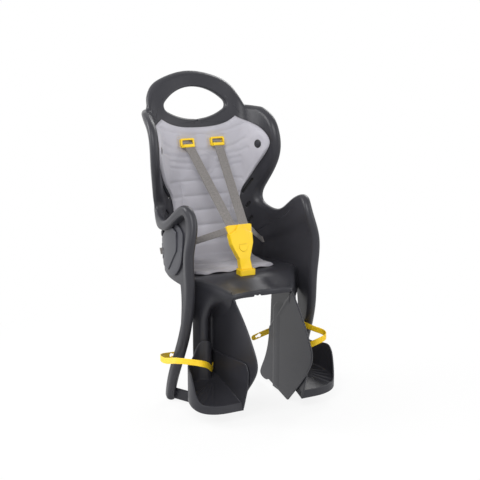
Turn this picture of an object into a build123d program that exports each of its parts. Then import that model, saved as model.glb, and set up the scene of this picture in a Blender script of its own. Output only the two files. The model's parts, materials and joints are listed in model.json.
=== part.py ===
from build123d import *
import os
from math import cos, radians, sin, tan

# Child bicycle seat. Millimetres, +Z up, the child faces -Y, the child's left is +X.
# The origin is the middle of the bolted face under the pan.
os.makedirs("parts", exist_ok=True)

# Moulded shell: wall, rolled rim and heights above the bolted face
WALL = 4.0
RIM_DEPTH = 22.0
RIM_WIDTH = 24.0
SHELL_BASE = 28.0
ARMREST_TOP = 220.0
WAIST_HEIGHT = 164.0
WING_HEIGHT = 335.0
SHOULDER_HEIGHT = 412.0
HANDLE_TOP = 498.0
STRUT_FOOT = -257.0

# Shell depths along Y and lean of the back in degrees
BACK_FOOT = 166.0
RECLINE = 9.0
HEAD_HEIGHT = 330.0
HEAD_RECLINE = 21.0
ARMREST_FRONT = -82.0
WAIST_DEPTH = 158.0
WING_FRONT = 112.0
STRUT_TIP = 22.0
STRUT_WIDTH = 52.0

# Plan sections of the bucket, evenly spaced upwards: tuck of the back, then half-width and
# distance forward of the back at the corner, the waist, the middle of the side and the front
SECTION_BASE = -290.0
SECTION_STEP = 82.0
SECTIONS = [
    (0, (100, 10), (142, 48), (158, 100), (176, 270)),
    (0, (102, 11), (143, 50), (159, 100), (176, 270)),
    (0, (104, 11), (142, 50), (157, 100), (175, 275)),
    (4, (107, 12), (139, 49), (152, 100), (173, 280)),
    (5, (109, 13), (135, 48), (146, 101), (171, 288)),
    (0, (108, 14), (131, 48), (142, 103), (172, 295)),
    (0, (104, 13), (133, 47), (143, 105), (160, 303)),
    (0, (99, 11), (133, 46), (152, 100), (166, 310)),
    (0, (94, 8), (126, 28), (148, 88), (170, 315)),
    (0, (90, 4), (128, 10), (148, 58), (172, 320)),
    (0, (90, 4), (128, 9), (148, 56), (172, 320)),
]
SECTION_PACE = [0.0, 0.25, 0.31, 0.37, 0.5, 0.63, 0.69, 0.75, 1.0]

# Carry handle
HANDLE_HALF_WIDTH = 130.0
HANDLE_ROOT = 372.0
HANDLE_WALL = 7.0
GRIP_HALF_WIDTH = 90.0
GRIP_MIDDLE = 412.0
GRIP_RISE = 47.0
GRIP_DROP = 31.0
GRIP_CORNER = 14.0

# Pan with its turned-down lip
PAN_WALL = 5.0
LIP_TOP = 24.0
LIP_BOTTOM = 12.0
LIP_FRONT = -108.0
LIP_HALF_WIDTH = 73.0
LIP_SWEEP = 8.0
PAN_CREST = 44.0
CREST_Y = -35.0
PAN_SEAT = 36.0

# Leg guards: inner panel, rear wall with its rounded ridge, and the tie to the strut
PANEL_HALF = 76.0
PANEL_TOE_IN = 3.0
RIDGE_X = 122.0
RIDGE_Y = -62.0
RIDGE_ROUND = 12.0
GUARD_TIP = -258.0
TIE_HEIGHT = 28.0

# Bolted face under the pan: ribbed boss, four threaded inserts
BOSS_WIDTH = 104.0
BOSS_LENGTH = 124.0
BOLT_SPACING_X = 70.0
BOLT_SPACING_Y = 90.0
BOLT_HOLE_R = 3.25
INSERT_R = 5.0
INSERT_LENGTH = 14.0
INSERT_FIT = 0.1
BOLT_BOSS_R = 9.0

# Footrests, at the lowest setting
FOOT_WALL = 3.5
FOOT_GAP = 0.6
FOOT_HEEL_X = 144.0
FOOT_HEEL_Y = -55.0
FOOT_OUTER = 187.0
FOOT_TOE = -167.0
TOE_ROUND = 14.0
FOOT_HEEL_TOP = -92.0
FOOT_SIDE_TOP = -127.0
FOOT_OUTER_TOP = -133.0
FLOOR_HEEL = -182.0
FLOOR_SLOPE = 15.5
FOOT_SKIRT = 15.0
TOE_LIP = 5.0
RIB_COUNT = 4
RIB_HEIGHT = 1.6
RIB_WIDTH = 2.2
RIB_ROOT_X = 104.0
RIB_ROOT_Y = -70.0
FOOT_TRAVEL = 60.0
LUG_ALONG = 0.5
LUG_WIDTH = 7.0
LUG_HEIGHT = 40.0
LUG_BASE = -175.0
LUG_GAP = 0.5
LUG_HEAD_WIDTH = 14.0
LUG_HEAD_THICK = 4.0
STUD_ALONG = 0.75
STUD_Z = -163.0
STUD_R = 2.6
STUD_CAP = 1.6

# Foot straps, as they hang open: points after the stud, for the child's left side
STRAP_WIDTH = 14.0
STRAP_THICK = 2.0
STRAP_GAP = 0.2
LEFT_STRAP_WAY = [(135, -111, -135), (168, -130, -118), (190, -122, -111), (182, -102, -106),
                  (155, -89, -97), (143, -60, -92), (144, -14, -102), (114, 34, -126), (60, 55, -150)]
RIGHT_STRAP_WAY = [(135, -112, -135), (176, -141, -111), (202, -118, -110), (206, -60, -127),
                   (204, -8, -142), (193, 30, -148), (165, 50, -155), (138, 60, -159)]

# Harness
WEBBING = 25.0
WEBBING_THICK = 1.6
BEND_ROUND = 4.0
GUIDE_X = 41.0
GUIDE_Z = 325.0
GUIDE_WIDTH = 37.0
GUIDE_HEIGHT = 22.0
GUIDE_BAR = 4.5
GUIDE_PROUD = 14.0
SLOT_CLEAR = 2.5
SLOT_HEIGHT = 10.0
PAD_SLOT_Z = 362.0
PAD_SLOT_WIDTH = 20.0
PAD_SLOT_HEIGHT = 7.0
VENT_X = 103.0
VENT_HEIGHTS = (216, 166, 123)
VENT_LENGTH = 38.0
VENT_WIDTH = 6.0
VENT_TILT = 45.0
LAP_Y = 128.0
LAP_Z = 82.0
LAP_WIDTH = 16.0
LAP_TILT = 30.0
LAP_WALL_X = 139.0
ANCHOR_THICK = 4.0

# Buckle, leaning back from its base block on the pan's crest
BUCKLE_Y = -30.0
BUCKLE_Z = 50.0
BUCKLE_LEAN = 20.4
BUCKLE_FOOT = 4.0
BUCKLE_SHOULDER = 90.0
BUCKLE_LENGTH = 112.0
BUCKLE_HALF_TOP = 30.0
BUCKLE_HALF_NECK = 14.0
BUCKLE_THICK = 16.0
CROWN_THICK = 5.0
BASE_WIDTH = 40.0
BASE_DEPTH = 26.0
BASE_HEIGHT = 13.0
BUTTON_Y = 58.0
BUTTON_R = 11.0
BUTTON_LENGTH = 8.0
BUTTON_PROUD = 1.5
BUTTON_TRAVEL = 3.0
BUTTON_GAP = 0.4
TONGUE_X = 16.0
TONGUE_SIDE = 31.0
TONGUE_TOP = 112.0
TONGUE_THICK = 10.0
TONGUE_MIDDLE = -2.4
LAP_LEVEL = 101.0
BLADE_WIDTH = 12.0
BLADE_LENGTH = 16.0
BLADE_THICK = 3.0
BLADE_GAP = 0.3
POCKET_GAP = 0.3

# Pad, its snaps and the side covers
PAD_THICK = 9.0
PAD_GAP = 0.4
PAD_FRONT = 12.0
PAD_HALF = 105.0
SNAP_X = 122.0
SNAP_Z = 323.0
SNAP_R = 8.0
SNAP_THICK = 2.5
SNAP_GAP = 0.2
COVER_THICK = 5.0
COVER_GAP = 0.5

SPAN = 300.0


def back_y(z):
    """Inside of the back at height z: it leans, and leans more behind the head."""
    y = BACK_FOOT + (z - LIP_TOP) * tan(radians(RECLINE))
    if z > HEAD_HEIGHT:
        y += (z - HEAD_HEIGHT) * (tan(radians(HEAD_RECLINE)) - tan(radians(RECLINE)))
    return y


def prism_x(face, low=-SPAN, high=SPAN):
    """Side view outline carried along X."""
    return extrude(Plane.YZ.offset(low) * face, amount=high - low)


def prism_y(face):
    """Front view outline carried right through along Y."""
    return extrude(Plane.XZ * face, amount=2 * SPAN, both=True)


def prism_z(face, low, high):
    """Plan outline carried up from low to high."""
    return extrude(Plane.XY.offset(low) * face, amount=high - low)


def both_sides(part):
    """A piece on the child's left with its mirror image on the right."""
    return part + mirror(part, about=Plane.YZ)


def bucket_face():
    """Inner face of the bucket, lofted through its plan sections."""
    wires = []
    for level, (tuck, *pairs) in enumerate(SECTIONS):
        z = SECTION_BASE + SECTION_STEP * level
        back = back_y(z) - tuck
        half = [Vector(x, back - d, z) for x, d in pairs]
        mirrored = [Vector(-p.X, p.Y, z) for p in reversed(half)]
        curve = Edge.make_spline(mirrored + [Vector(0, back, z)] + half, parameters=SECTION_PACE)
        wires.append(Wire([curve, Edge.make_line(curve @ 1, curve @ 0)]))
    return Solid.make_loft(wires).faces().sort_by(SortBy.AREA)[-1]


BUCKET = bucket_face()


def moved_bucket(distance):
    """The bucket's inner face moved outwards by distance, or inwards where negative."""
    if distance == 0:
        return BUCKET
    pair = Solid.thicken(BUCKET, distance).faces().sort_by(SortBy.AREA)[-2:].sort_by(Axis.Y)
    return pair[1] if distance > 0 else -pair[0]


def skin(near, far):
    """Layer of the bucket's wall between two distances outwards of its inner face."""
    return Solid.thicken(moved_bucket(near), far - near)


def front_edge():
    """Side view edge from the strut's tip over armrest, waist and wing to the shoulder."""
    shoulder = back_y(SHOULDER_HEIGHT) - 12
    return Spline(
        (STRUT_TIP, STRUT_FOOT),
        (STRUT_TIP - 56, STRUT_FOOT + 119),
        (ARMREST_FRONT + 14, STRUT_FOOT + 208),
        (ARMREST_FRONT + 4, LIP_TOP),
        (ARMREST_FRONT, ARMREST_TOP - 105),
        (ARMREST_FRONT + 5, ARMREST_TOP - 50),
        (ARMREST_FRONT + 40, ARMREST_TOP),
        (ARMREST_FRONT + 80, ARMREST_TOP - 7),
        (WAIST_DEPTH - 50, WAIST_HEIGHT),
        (WAIST_DEPTH, WAIST_HEIGHT + 20),
        (WING_FRONT + 27, WING_HEIGHT - 100),
        (WING_FRONT, WING_HEIGHT),
        (WING_FRONT + 22, WING_HEIGHT + 46),
        (shoulder - 60, SHOULDER_HEIGHT - 7),
        (shoulder, SHOULDER_HEIGHT + 4),
    )


def behind_edge(inset):
    """Side view region behind the front edge, which is first moved back by inset."""
    edge = front_edge()
    foot = STRUT_FOOT
    if inset:
        steps = [i / 36 for i in range(37)]
        moved = [edge @ t + Vector((edge % t).Y, -(edge % t).X) * inset for t in steps]
        edge = Spline(*moved)
        foot = STRUT_FOOT - 2 * RIM_WIDTH
    top = HANDLE_TOP + 60
    rear = back_y(HANDLE_TOP) + 120
    loop = Polyline(edge @ 1, ((edge @ 1).X, top), (rear, top), (rear, foot), ((edge @ 0).X + 5, foot), edge @ 0)
    return make_face([edge, *loop.edges()])


def open_below():
    """Side view region that the base of the bucket and the strut's rear edge leave open."""
    knee = (4, SHELL_BASE)
    tip = (STRUT_TIP + STRUT_WIDTH - 10, STRUT_FOOT - 10)
    strut = Spline(knee, (-8, -60), (-1, -112), (21, -182), tip)
    rear = back_y(HANDLE_TOP) + 120
    deep = STRUT_FOOT - 80
    loop = Polyline(tip, (tip[0], deep), (rear, deep), (rear, SHELL_BASE), knee)
    return make_face([strut, *loop.edges()])


def handle_outline(inset):
    """Front view of the carry handle, with everything below its shoulders."""
    half, top, low = HANDLE_HALF_WIDTH - inset, HANDLE_TOP - inset, SHOULDER_HEIGHT
    rise = [(half, low), (half - 8, low + 30), (half - 28, low + 56), (0.55 * half, top - 14), (0, top)]
    right = Spline(*rise, tangents=[(0, 1), (-1, 0)])
    left = Spline(*[(-x, z) for x, z in reversed(rise)], tangents=[(-1, 0), (0, -1)])
    floor = STRUT_FOOT - 40
    rest = Polyline((-half, low), (-SPAN, low), (-SPAN, floor), (SPAN, floor), (SPAN, low), (half, low))
    return make_face([right, left, *rest.edges()])


def grip_outline(grow):
    """Eye-shaped grip hole: two arcs with rounded ends."""
    half = GRIP_HALF_WIDTH + grow
    upper = ThreePointArc((-half, GRIP_MIDDLE), (0, GRIP_MIDDLE + GRIP_RISE + grow), (half, GRIP_MIDDLE))
    lower = ThreePointArc((half, GRIP_MIDDLE), (0, GRIP_MIDDLE - GRIP_DROP - grow), (-half, GRIP_MIDDLE))
    eye = make_face([upper, lower])
    return fillet(eye.vertices(), GRIP_CORNER + grow)


def band_z(low, high):
    """Front view band between two heights."""
    return Pos(0, (low + high) / 2) * Rectangle(2 * SPAN, high - low)


def bucket_body():
    """Bucket wall with its rolled rim, struts and carry handle, hollowed from behind."""
    body = skin(0, RIM_DEPTH) & prism_x(behind_edge(0))
    body -= prism_x(open_below())
    body &= prism_y(handle_outline(0))
    body -= prism_y(grip_outline(0))
    hollow = skin(WALL, RIM_DEPTH + 6)
    body -= hollow & prism_x(behind_edge(RIM_WIDTH)) & prism_y(band_z(STRUT_FOOT - 80, HANDLE_ROOT))
    handle = prism_y(handle_outline(HANDLE_WALL)) & prism_y(band_z(HANDLE_ROOT - 1, HANDLE_TOP))
    handle &= prism_x(behind_edge(RIM_WIDTH))
    handle -= prism_y(grip_outline(HANDLE_WALL))
    return body - (hollow & handle)


def pan_side(drop):
    """Side view region under the pan's top face, lowered by drop."""
    top = Spline(
        (LIP_FRONT - 150, LIP_TOP - 14 - drop),
        (LIP_FRONT, LIP_TOP - drop),
        (CREST_Y, PAN_CREST - drop),
        (CREST_Y + 75, PAN_SEAT + 2 - drop),
        (CREST_Y + 145, PAN_SEAT - drop),
        (BACK_FOOT + 60, PAN_SEAT + 16 - drop),
    )
    low = STRUT_FOOT - 40
    loop = Polyline(top @ 1, ((top @ 1).X, low), ((top @ 0).X, low), top @ 0)
    return make_face([top, *loop.edges()])


def pan_outline(inset):
    """Plan of the pan: hollow lip between the legs, thigh edges swept back to the walls."""
    corner = (LIP_HALF_WIDTH - inset, LIP_FRONT - LIP_SWEEP + inset)
    lip = Spline((-corner[0], corner[1]), (0, LIP_FRONT + inset), corner, tangents=[(1, 0.3), (1, -0.3)])
    sweep = [corner, (RIDGE_X - 26 - inset, RIDGE_Y - 26), (RIDGE_X - 2 - inset, RIDGE_Y + 12 + inset),
             (RIDGE_X + 50, 12 + inset)]
    right = Spline(*sweep)
    left = Spline(*[(-x, y) for x, y in reversed(sweep)])
    end = sweep[-1]
    side, rear = end[0] + 1, BACK_FOOT + 20
    rest = Polyline(end, (side, end[1]), (side, rear), (-side, rear), (-side, end[1]), (-end[0], end[1]))
    return make_face([lip, right, left, *rest.edges()])


def pan():
    """Seat pan with a skirt along its free edges, ending inside the bucket's wall."""
    top = prism_z(pan_outline(0), LIP_BOTTOM, PAN_CREST + 40) & prism_x(pan_side(0))
    under = prism_z(pan_outline(WALL), LIP_BOTTOM - 10, PAN_CREST + 40) & prism_x(pan_side(PAN_WALL))
    return (top - under) - skin(WALL / 2, 90)


def panel_x(y):
    """Half-distance between the two guard panels, which toe in towards the front."""
    return PANEL_HALF + (y + 100) * tan(radians(PANEL_TOE_IN))


def panel_side():
    """Side view of a guard panel: bulged front, pointed foot and a rear lobe."""
    corner = LIP_FRONT - LIP_SWEEP - 2
    front = Spline((corner, LIP_TOP), (-169, -33), (-205, -78), (-221, -112), (-206, -148), (-172, -190))
    rear = Spline((4, -241), (30, -248), (50, -240), (43, -221), (25, -192), (9, -155), (-1, -93), (-6, -20))
    foot = Polyline(front @ 1, (-102, GUARD_TIP), rear @ 0)
    top = Polyline(rear @ 1, ((rear @ 1).X, 60), (corner, 60), front @ 0)
    return make_face([front, rear, *foot.edges(), *top.edges()])


def panel_line():
    """Plan line of a guard's panel."""
    return Line((panel_x(60), 60), (panel_x(-240), -240))


def ridge_line():
    """Plan line of the guard's rear wall, from its outer flank round the ridge to the panel."""
    points = [(RIDGE_X + 12, RIDGE_Y + 40), (RIDGE_X, RIDGE_Y - 14), (panel_x(-8), -8)]
    return FilletPolyline(*points, radius=RIDGE_ROUND)


def leg_guard():
    """Guard on the child's left: panel, rear wall with the lug's slot, and tie to the strut."""
    panel = prism_z(trace(panel_line(), WALL), GUARD_TIP - 20, 80) & prism_x(panel_side(), 0)
    wall = prism_z(trace(ridge_line(), WALL), STRUT_FOOT + 8, 80)
    tie = prism_z(trace(Line((RIDGE_X + 12, RIDGE_Y + 38), (166, STRUT_TIP + 16)), WALL), STRUT_FOOT,
                  STRUT_FOOT + TIE_HEIGHT)
    guard = (panel + wall) & prism_x(pan_side(PAN_WALL / 2))
    return guard + tie - lug_slot()


def bolt_places():
    return GridLocations(BOLT_SPACING_X, BOLT_SPACING_Y, 2, 2)


def mount_boss():
    """Ribbed boss that carries the bolted face under the pan."""
    frame = Rectangle(BOSS_WIDTH, BOSS_LENGTH) - Rectangle(BOSS_WIDTH - 2 * WALL, BOSS_LENGTH - 2 * WALL)
    ribs = Sketch() + GridLocations(0, BOLT_SPACING_Y, 1, 2) * Rectangle(BOSS_WIDTH, WALL)
    ribs += GridLocations(BOLT_SPACING_X, 0, 2, 1) * Rectangle(WALL, BOSS_LENGTH)
    plan = frame + ribs + bolt_places() * Circle(BOLT_BOSS_R)
    boss = prism_z(plan, 0, PAN_CREST) & prism_x(pan_side(PAN_WALL / 2))
    return boss - prism_z(Sketch() + bolt_places() * Circle(INSERT_R + INSERT_FIT), -1, INSERT_LENGTH)


def back_plane(x, z):
    """Plane on the inside of the back at (x, z), its Z axis towards the child."""
    point, normal = BUCKET.find_intersection_points(Axis((x, -500, z), (0, 1, 0)))[0]
    return Plane(origin=point, x_dir=(1, 0, 0), z_dir=-normal)


def shoulder_slot(side):
    """Cutter for the webbing slot behind a strap guide, right through wall and anchor plate."""
    size = WEBBING + 2 * SLOT_CLEAR
    return back_plane(side * GUIDE_X, GUIDE_Z) * Box(size, SLOT_HEIGHT, 50)


def lap_slot(side):
    """Cutter for the lap strap's slot, through side wall, cover and anchor plate."""
    slot = Box(2 * SPAN, WEBBING_THICK + 2 * SLOT_CLEAR, LAP_WIDTH + 2 * SLOT_CLEAR)
    whole = Pos(0, LAP_Y, LAP_Z) * Rot(-LAP_TILT, 0, 0) * slot
    return whole & Pos(side * SPAN / 2, 0, 0) * Box(SPAN, 2 * SPAN, 2 * SPAN)


def vents(side):
    """Cutter for the slanted slots in the bucket's rear corner beside the pad."""
    slot = Rot(0, -side * VENT_TILT, 0) * Box(VENT_LENGTH, 80, VENT_WIDTH)
    return [Pos(side * VENT_X, BACK_FOOT, z) * slot for z in VENT_HEIGHTS]


def seat_shell():
    """The one-piece moulding: bucket, pan, guards, boss and the slots for the harness."""
    shell = bucket_body() + pan() + both_sides(leg_guard()) + mount_boss()
    for side in (-1, 1):
        shell -= shoulder_slot(side)
        shell -= Pos(side * GUIDE_X, back_y(PAD_SLOT_Z), PAD_SLOT_Z) * Box(PAD_SLOT_WIDTH, 60, PAD_SLOT_HEIGHT)
        shell -= lap_slot(side)
        shell -= vents(side)
    return shell


def floor_y(y):
    """Height of the footrest's floor, which falls towards the toe."""
    return FLOOR_HEEL + (y + 40) * tan(radians(FLOOR_SLOPE))


def under_floor(drop):
    """Side view region under the footrest's floor, lowered by drop."""
    near, far, deep = 60, -260, -320
    return make_face(Polyline((near, floor_y(near) - drop), (far, floor_y(far) - drop), (far, deep),
                              (near, deep), close=True))


def foot_plan():
    """Plan of a footrest: in front of the guard's rear wall, clear of wall and panel."""
    ridge = ridge_line()
    bend = ridge.edges().filter_by(GeomType.CIRCLE)[0]
    toe_in = panel_x(FOOT_TOE)
    outer = [(FOOT_HEEL_X, FOOT_HEEL_Y), (FOOT_OUTER - 15, -80), (FOOT_OUTER, -115),
             (FOOT_OUTER - 8, FOOT_TOE + 22), (150, FOOT_TOE + 4), (112, FOOT_TOE), (toe_in, FOOT_TOE)]
    points = [ridge @ 1, bend @ 1, bend @ 0.5, *outer]
    plan = make_face(Polyline(*points, close=True))
    plan = fillet(plan.vertices().filter_by(lambda v: v.X > 140 and v.Y < -100), TOE_ROUND)
    clear = WALL + 2 * FOOT_GAP
    return plan - trace(ridge, clear) - trace(panel_line(), clear)


def foot_front():
    """Front view region of a footrest: dome at the heel, lower at both sides."""
    shoulder = FOOT_HEEL_TOP - 11
    top = Spline((60, FOOT_SIDE_TOP), (86, FOOT_SIDE_TOP), (105, shoulder), (RIDGE_X, FOOT_HEEL_TOP),
                 (139, shoulder), (158, FOOT_OUTER_TOP + 2), (172, FOOT_OUTER_TOP), (220, FOOT_OUTER_TOP))
    return make_face([top, *Polyline(top @ 1, (220, -320), (60, -320), top @ 0).edges()])


def foot_side():
    """Side view region of a footrest: full height at the heel, a low lip round the toe."""
    drop = Spline((-94, FOOT_OUTER_TOP + 15), (-108, FOOT_OUTER_TOP), (-123, -148), (-131, -171), (-140, -194),
                  (-152, floor_y(-152) + TOE_LIP))
    far = -260
    loop = Polyline(drop @ 1, (far, floor_y(far) + TOE_LIP), (far, -320), (60, -320), (60, 0), (-94, 0), drop @ 0)
    return make_face([drop, *loop.edges()])


def foot_plate():
    """Inner wall of a footrest: a plate along the guard's panel, its front edge leaning."""
    step = WALL / 2 + FOOT_GAP + FOOT_WALL / 2
    slab = prism_z(trace(Pos(step, 0) * panel_line(), FOOT_WALL), -320, 0)
    low = FOOT_SKIRT - 1
    top = [(-24, FOOT_SIDE_TOP), (-73, FOOT_SIDE_TOP), (-150, FOOT_SIDE_TOP + 9), (-180, FOOT_SIDE_TOP + 10)]
    front = [(-192, -136), (-189, -169), (FOOT_TOE, floor_y(FOOT_TOE) - low), (-24, floor_y(-24) - low)]
    side = make_face(Polyline(*top, *front, close=True))
    return slab & prism_x(fillet(side.vertices().sort_by(Axis.X)[0:3], 8), 0)


def wall_place(along, z):
    """Plane on the guard's rear wall slope: X along the wall, Y up, Z towards the foot."""
    slope = ridge_line().edges().sort_by(Axis.X)[0]
    ends = slope.vertices().sort_by(Axis.Y)
    front, rear = Vector(*ends[0]), Vector(*ends[1])
    run = (front - rear).normalized()
    spot = rear + (front - rear) * along
    return Plane(origin=(spot.X, spot.Y, z), x_dir=run, z_dir=(run.Y, -run.X, 0))


def lug_slot():
    """Cutter for the slot in the rear wall in which a footrest's lug slides."""
    height = LUG_HEIGHT + FOOT_TRAVEL + 2 * LUG_GAP
    place = wall_place(LUG_ALONG, LUG_BASE - LUG_GAP + height / 2)
    return place * Box(LUG_WIDTH + 2 * LUG_GAP, height, 3 * WALL)


def footrest():
    """Footrest on the child's left: cup, inner plate, floor ribs, sliding lug and strap stud."""
    plan = foot_plan()
    inner = prism_z(offset(plan, amount=-FOOT_WALL), -320, 0)
    cup = prism_z(plan, -320, 0) & prism_y(foot_front()) & prism_x(foot_side())
    cup -= prism_x(under_floor(FOOT_SKIRT))
    cup -= inner - prism_x(under_floor(0))
    cup -= inner & prism_x(under_floor(FOOT_WALL))
    ribs = prism_x(under_floor(-RIB_HEIGHT)) - prism_x(under_floor(FOOT_WALL / 2))
    fan = Sketch()
    for turn in range(RIB_COUNT):
        heading = radians(-62 - 9 * turn + 9 * RIB_COUNT)
        start = Vector(RIB_ROOT_X, RIB_ROOT_Y)
        fan += trace(Line(start, start + Vector(cos(heading), -abs(sin(heading))) * 140), RIB_WIDTH)
    cup += ribs & prism_z(fan, -320, 0) & inner
    cup += foot_plate()
    near, back = WALL / 2 + FOOT_GAP, WALL / 2 + LUG_GAP
    middle = LUG_BASE + LUG_HEIGHT / 2
    place = wall_place(LUG_ALONG, middle)
    neck = Pos(0, 0, (near - back) / 2) * Box(LUG_WIDTH, LUG_HEIGHT, near + back + 2)
    head = Pos(0, 0, -back - LUG_HEAD_THICK / 2) * Box(LUG_HEAD_WIDTH, LUG_HEIGHT, LUG_HEAD_THICK)
    cup += place * (neck + head)
    front = near + FOOT_WALL
    pin = Pos(0, 0, front) * Cylinder(STUD_R, 2 * (STRAP_THICK + 2 * STRAP_GAP))
    cap = Pos(0, 0, front + STRAP_THICK + 2 * STRAP_GAP + STUD_CAP / 2) * Cylinder(STUD_R + 1.8, STUD_CAP)
    cup += wall_place(STUD_ALONG, STUD_Z) * (pin + cap)
    return cup


def strap_keyhole():
    """Keyhole for the strap's stud, cut across a foot strap."""
    hole = Circle(STUD_R + 2.2) + Pos(STUD_R + 3, 0) * Rectangle(8, 2 * STUD_R + 0.8)
    return extrude(hole, amount=5 * STRAP_THICK, both=True)


def foot_strap(way):
    """Foot strap held on its stud, then through the points of way, with keyholes at its free end."""
    seat = wall_place(STUD_ALONG, STUD_Z)
    lift = WALL / 2 + FOOT_GAP + FOOT_WALL + STRAP_GAP + STRAP_THICK / 2
    path = Spline(*[seat.from_local_coords((v, 0, lift)) for v in (-8, 0, 8)], *way)
    run = path % 0
    start = Plane(origin=path @ 0, x_dir=(-run.Y, run.X, 0), z_dir=run)
    band = sweep(start * Rectangle(STRAP_THICK, STRAP_WIDTH), path=path)
    band -= seat * Pos(0, 0, lift) * extrude(Circle(STUD_R + STRAP_GAP), amount=5, both=True)
    for spot in (0.9, 0.97):
        run = path % spot
        flat = run.cross(Vector(0, 0, 1))
        band -= Plane(origin=path @ spot, x_dir=run, z_dir=flat) * strap_keyhole()
    return band


def strap_guide(side):
    """Frame on the back through which a shoulder strap comes out, standing through the pad."""
    ring = RectangleRounded(GUIDE_WIDTH, GUIDE_HEIGHT, GUIDE_BAR)
    ring -= RectangleRounded(GUIDE_WIDTH - 2 * GUIDE_BAR, GUIDE_HEIGHT - 2 * GUIDE_BAR, 2)
    frame = back_plane(side * GUIDE_X, GUIDE_Z) * extrude(ring, amount=GUIDE_PROUD, both=True)
    return frame - skin(0, GUIDE_PROUD + 20)


def strap_run(points, width, grow=0):
    """Flat webbing along a line of three points, its width across the plane of the bend."""
    start, bend, end = [Vector(*p) for p in points]
    path = FilletPolyline(start, bend, end, radius=BEND_ROUND)
    across = (bend - start).cross(end - bend).normalized()
    section = Plane(origin=start, x_dir=across, z_dir=bend - start)
    size = Rectangle(width + 2 * grow, WEBBING_THICK + 2 * grow)
    return sweep(section * size, path=path)


def shoulder_points(side):
    seat = back_plane(side * GUIDE_X, GUIDE_Z)
    behind = seat.from_local_coords((0, 0, -WALL - ANCHOR_THICK - 4))
    proud = seat.from_local_coords((0, 0, GUIDE_PROUD - 2))
    tongue = buckle_plane().from_local_coords((side * TONGUE_X, TONGUE_TOP - 6, TONGUE_MIDDLE))
    return behind, proud, tongue


def shoulder_strap(side, grow=0):
    return strap_run(shoulder_points(side), WEBBING, grow)


def lap_points(side):
    tongue = buckle_plane().from_local_coords((side * (TONGUE_SIDE - 1), LAP_LEVEL, TONGUE_MIDDLE))
    wall = Vector(side * (LAP_WALL_X - 12), LAP_Y, LAP_Z)
    outside = Vector(side * (LAP_WALL_X + WALL + COVER_THICK + ANCHOR_THICK + 3), LAP_Y, LAP_Z)
    return outside, wall, tongue


def lap_strap(side, grow=0):
    return strap_run(lap_points(side), LAP_WIDTH, grow)


def shoulder_anchor():
    """Plate behind the back that carries both shoulder straps."""
    plate = Pos(0, GUIDE_Z) * RectangleRounded(2 * GUIDE_X + GUIDE_WIDTH + 16, GUIDE_HEIGHT, 6)
    anchor = skin(WALL, WALL + ANCHOR_THICK) & prism_y(plate)
    return anchor - shoulder_slot(-1) - shoulder_slot(1)


def cover_outline():
    top = Spline((-8, 150), (28, 166), (62, 162), (104, 134), (150, 110))
    rear = Spline((150, 110), (146, 70), (112, 38))
    front = Spline((30, 45), (-18, 112), (-8, 150))
    foot = Polyline((112, 38), (75, 36), (30, 45))
    return make_face([top, rear, front, *foot.edges()])


def side_cover(side):
    """Cover on the outside of the bucket beside the hip."""
    low, high = (0, SPAN) if side > 0 else (-SPAN, 0)
    outline = prism_x(cover_outline(), low, high) & prism_x(behind_edge(RIM_WIDTH + COVER_GAP), low, high)
    return (skin(WALL, WALL + COVER_THICK) & outline) - lap_slot(side)


def lap_anchor(side):
    """Plate on the side cover that holds the lap strap."""
    low, high = (0, SPAN) if side > 0 else (-SPAN, 0)
    plate = Pos(LAP_Y, LAP_Z) * Rot(0, 0, -LAP_TILT) * RectangleRounded(18, LAP_WIDTH + 20, 6)
    near = WALL + COVER_THICK
    return (skin(near, near + ANCHOR_THICK) & prism_x(plate, low, high)) - lap_slot(side)


def buckle_plane():
    """Plane of the buckle: X across, Y up its length, Z towards the front."""
    lean = radians(BUCKLE_LEAN)
    return Plane(origin=(0, BUCKLE_Y, BUCKLE_Z), x_dir=(1, 0, 0), z_dir=(0, -cos(lean), sin(lean)))


def mirrored_face(half):
    """Face from a half outline that runs from the foot to the top, mirrored across X."""
    return make_face(Polyline(*half, *[(-x, y) for x, y in reversed(half)], close=True))


def buckle_housing():
    """Buckle body: narrow neck, wide head, a front crown over the tongues, hole for the button."""
    shoulder = BUCKLE_SHOULDER
    half = [(BUCKLE_HALF_NECK + 1, BUCKLE_FOOT), (BUCKLE_HALF_NECK, 30), (BUCKLE_HALF_TOP - 2, 66),
            (BUCKLE_HALF_TOP, shoulder)]
    crown = [*half, (12, shoulder + 9), (2, BUCKLE_LENGTH)]
    front = Pos(0, 0, BUCKLE_THICK / 2 - CROWN_THICK) * extrude(mirrored_face(crown), amount=CROWN_THICK)
    front = chamfer(front.faces().sort_by(Axis.Z)[-1].edges(), CROWN_THICK / 4)
    body = front + Pos(0, 0, -BUCKLE_THICK / 2) * extrude(mirrored_face(half), amount=BUCKLE_THICK - CROWN_THICK)
    floor = BUCKLE_THICK / 2 - BUTTON_LENGTH - BUTTON_TRAVEL - BUTTON_GAP + BUTTON_PROUD
    body -= Pos(0, 0, floor) * extrude(button_outline(BUTTON_GAP), amount=BUCKLE_THICK)
    for side in (-1, 1):
        body -= Pos(side * TONGUE_X, shoulder - BLADE_LENGTH / 2, TONGUE_MIDDLE) * Box(
            BLADE_WIDTH + 2 * BLADE_GAP, BLADE_LENGTH + 2 * BLADE_GAP, BLADE_THICK + 2 * BLADE_GAP)
    return buckle_plane() * body


def button_outline(grow):
    """D-shaped release button, flat at the top."""
    disc = Circle(BUTTON_R + grow)
    flat = Pos(0, BUTTON_R * 0.55 + grow + BUTTON_R) * Rectangle(4 * BUTTON_R, 2 * BUTTON_R)
    return Pos(0, BUTTON_Y) * (disc - flat)


def buckle_button():
    top = BUCKLE_THICK / 2 + BUTTON_PROUD
    body = Pos(0, 0, top - BUTTON_LENGTH) * extrude(button_outline(0), amount=BUTTON_LENGTH)
    return buckle_plane() * chamfer(body.edges().group_by(Axis.Z)[-1], 0.8)


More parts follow.
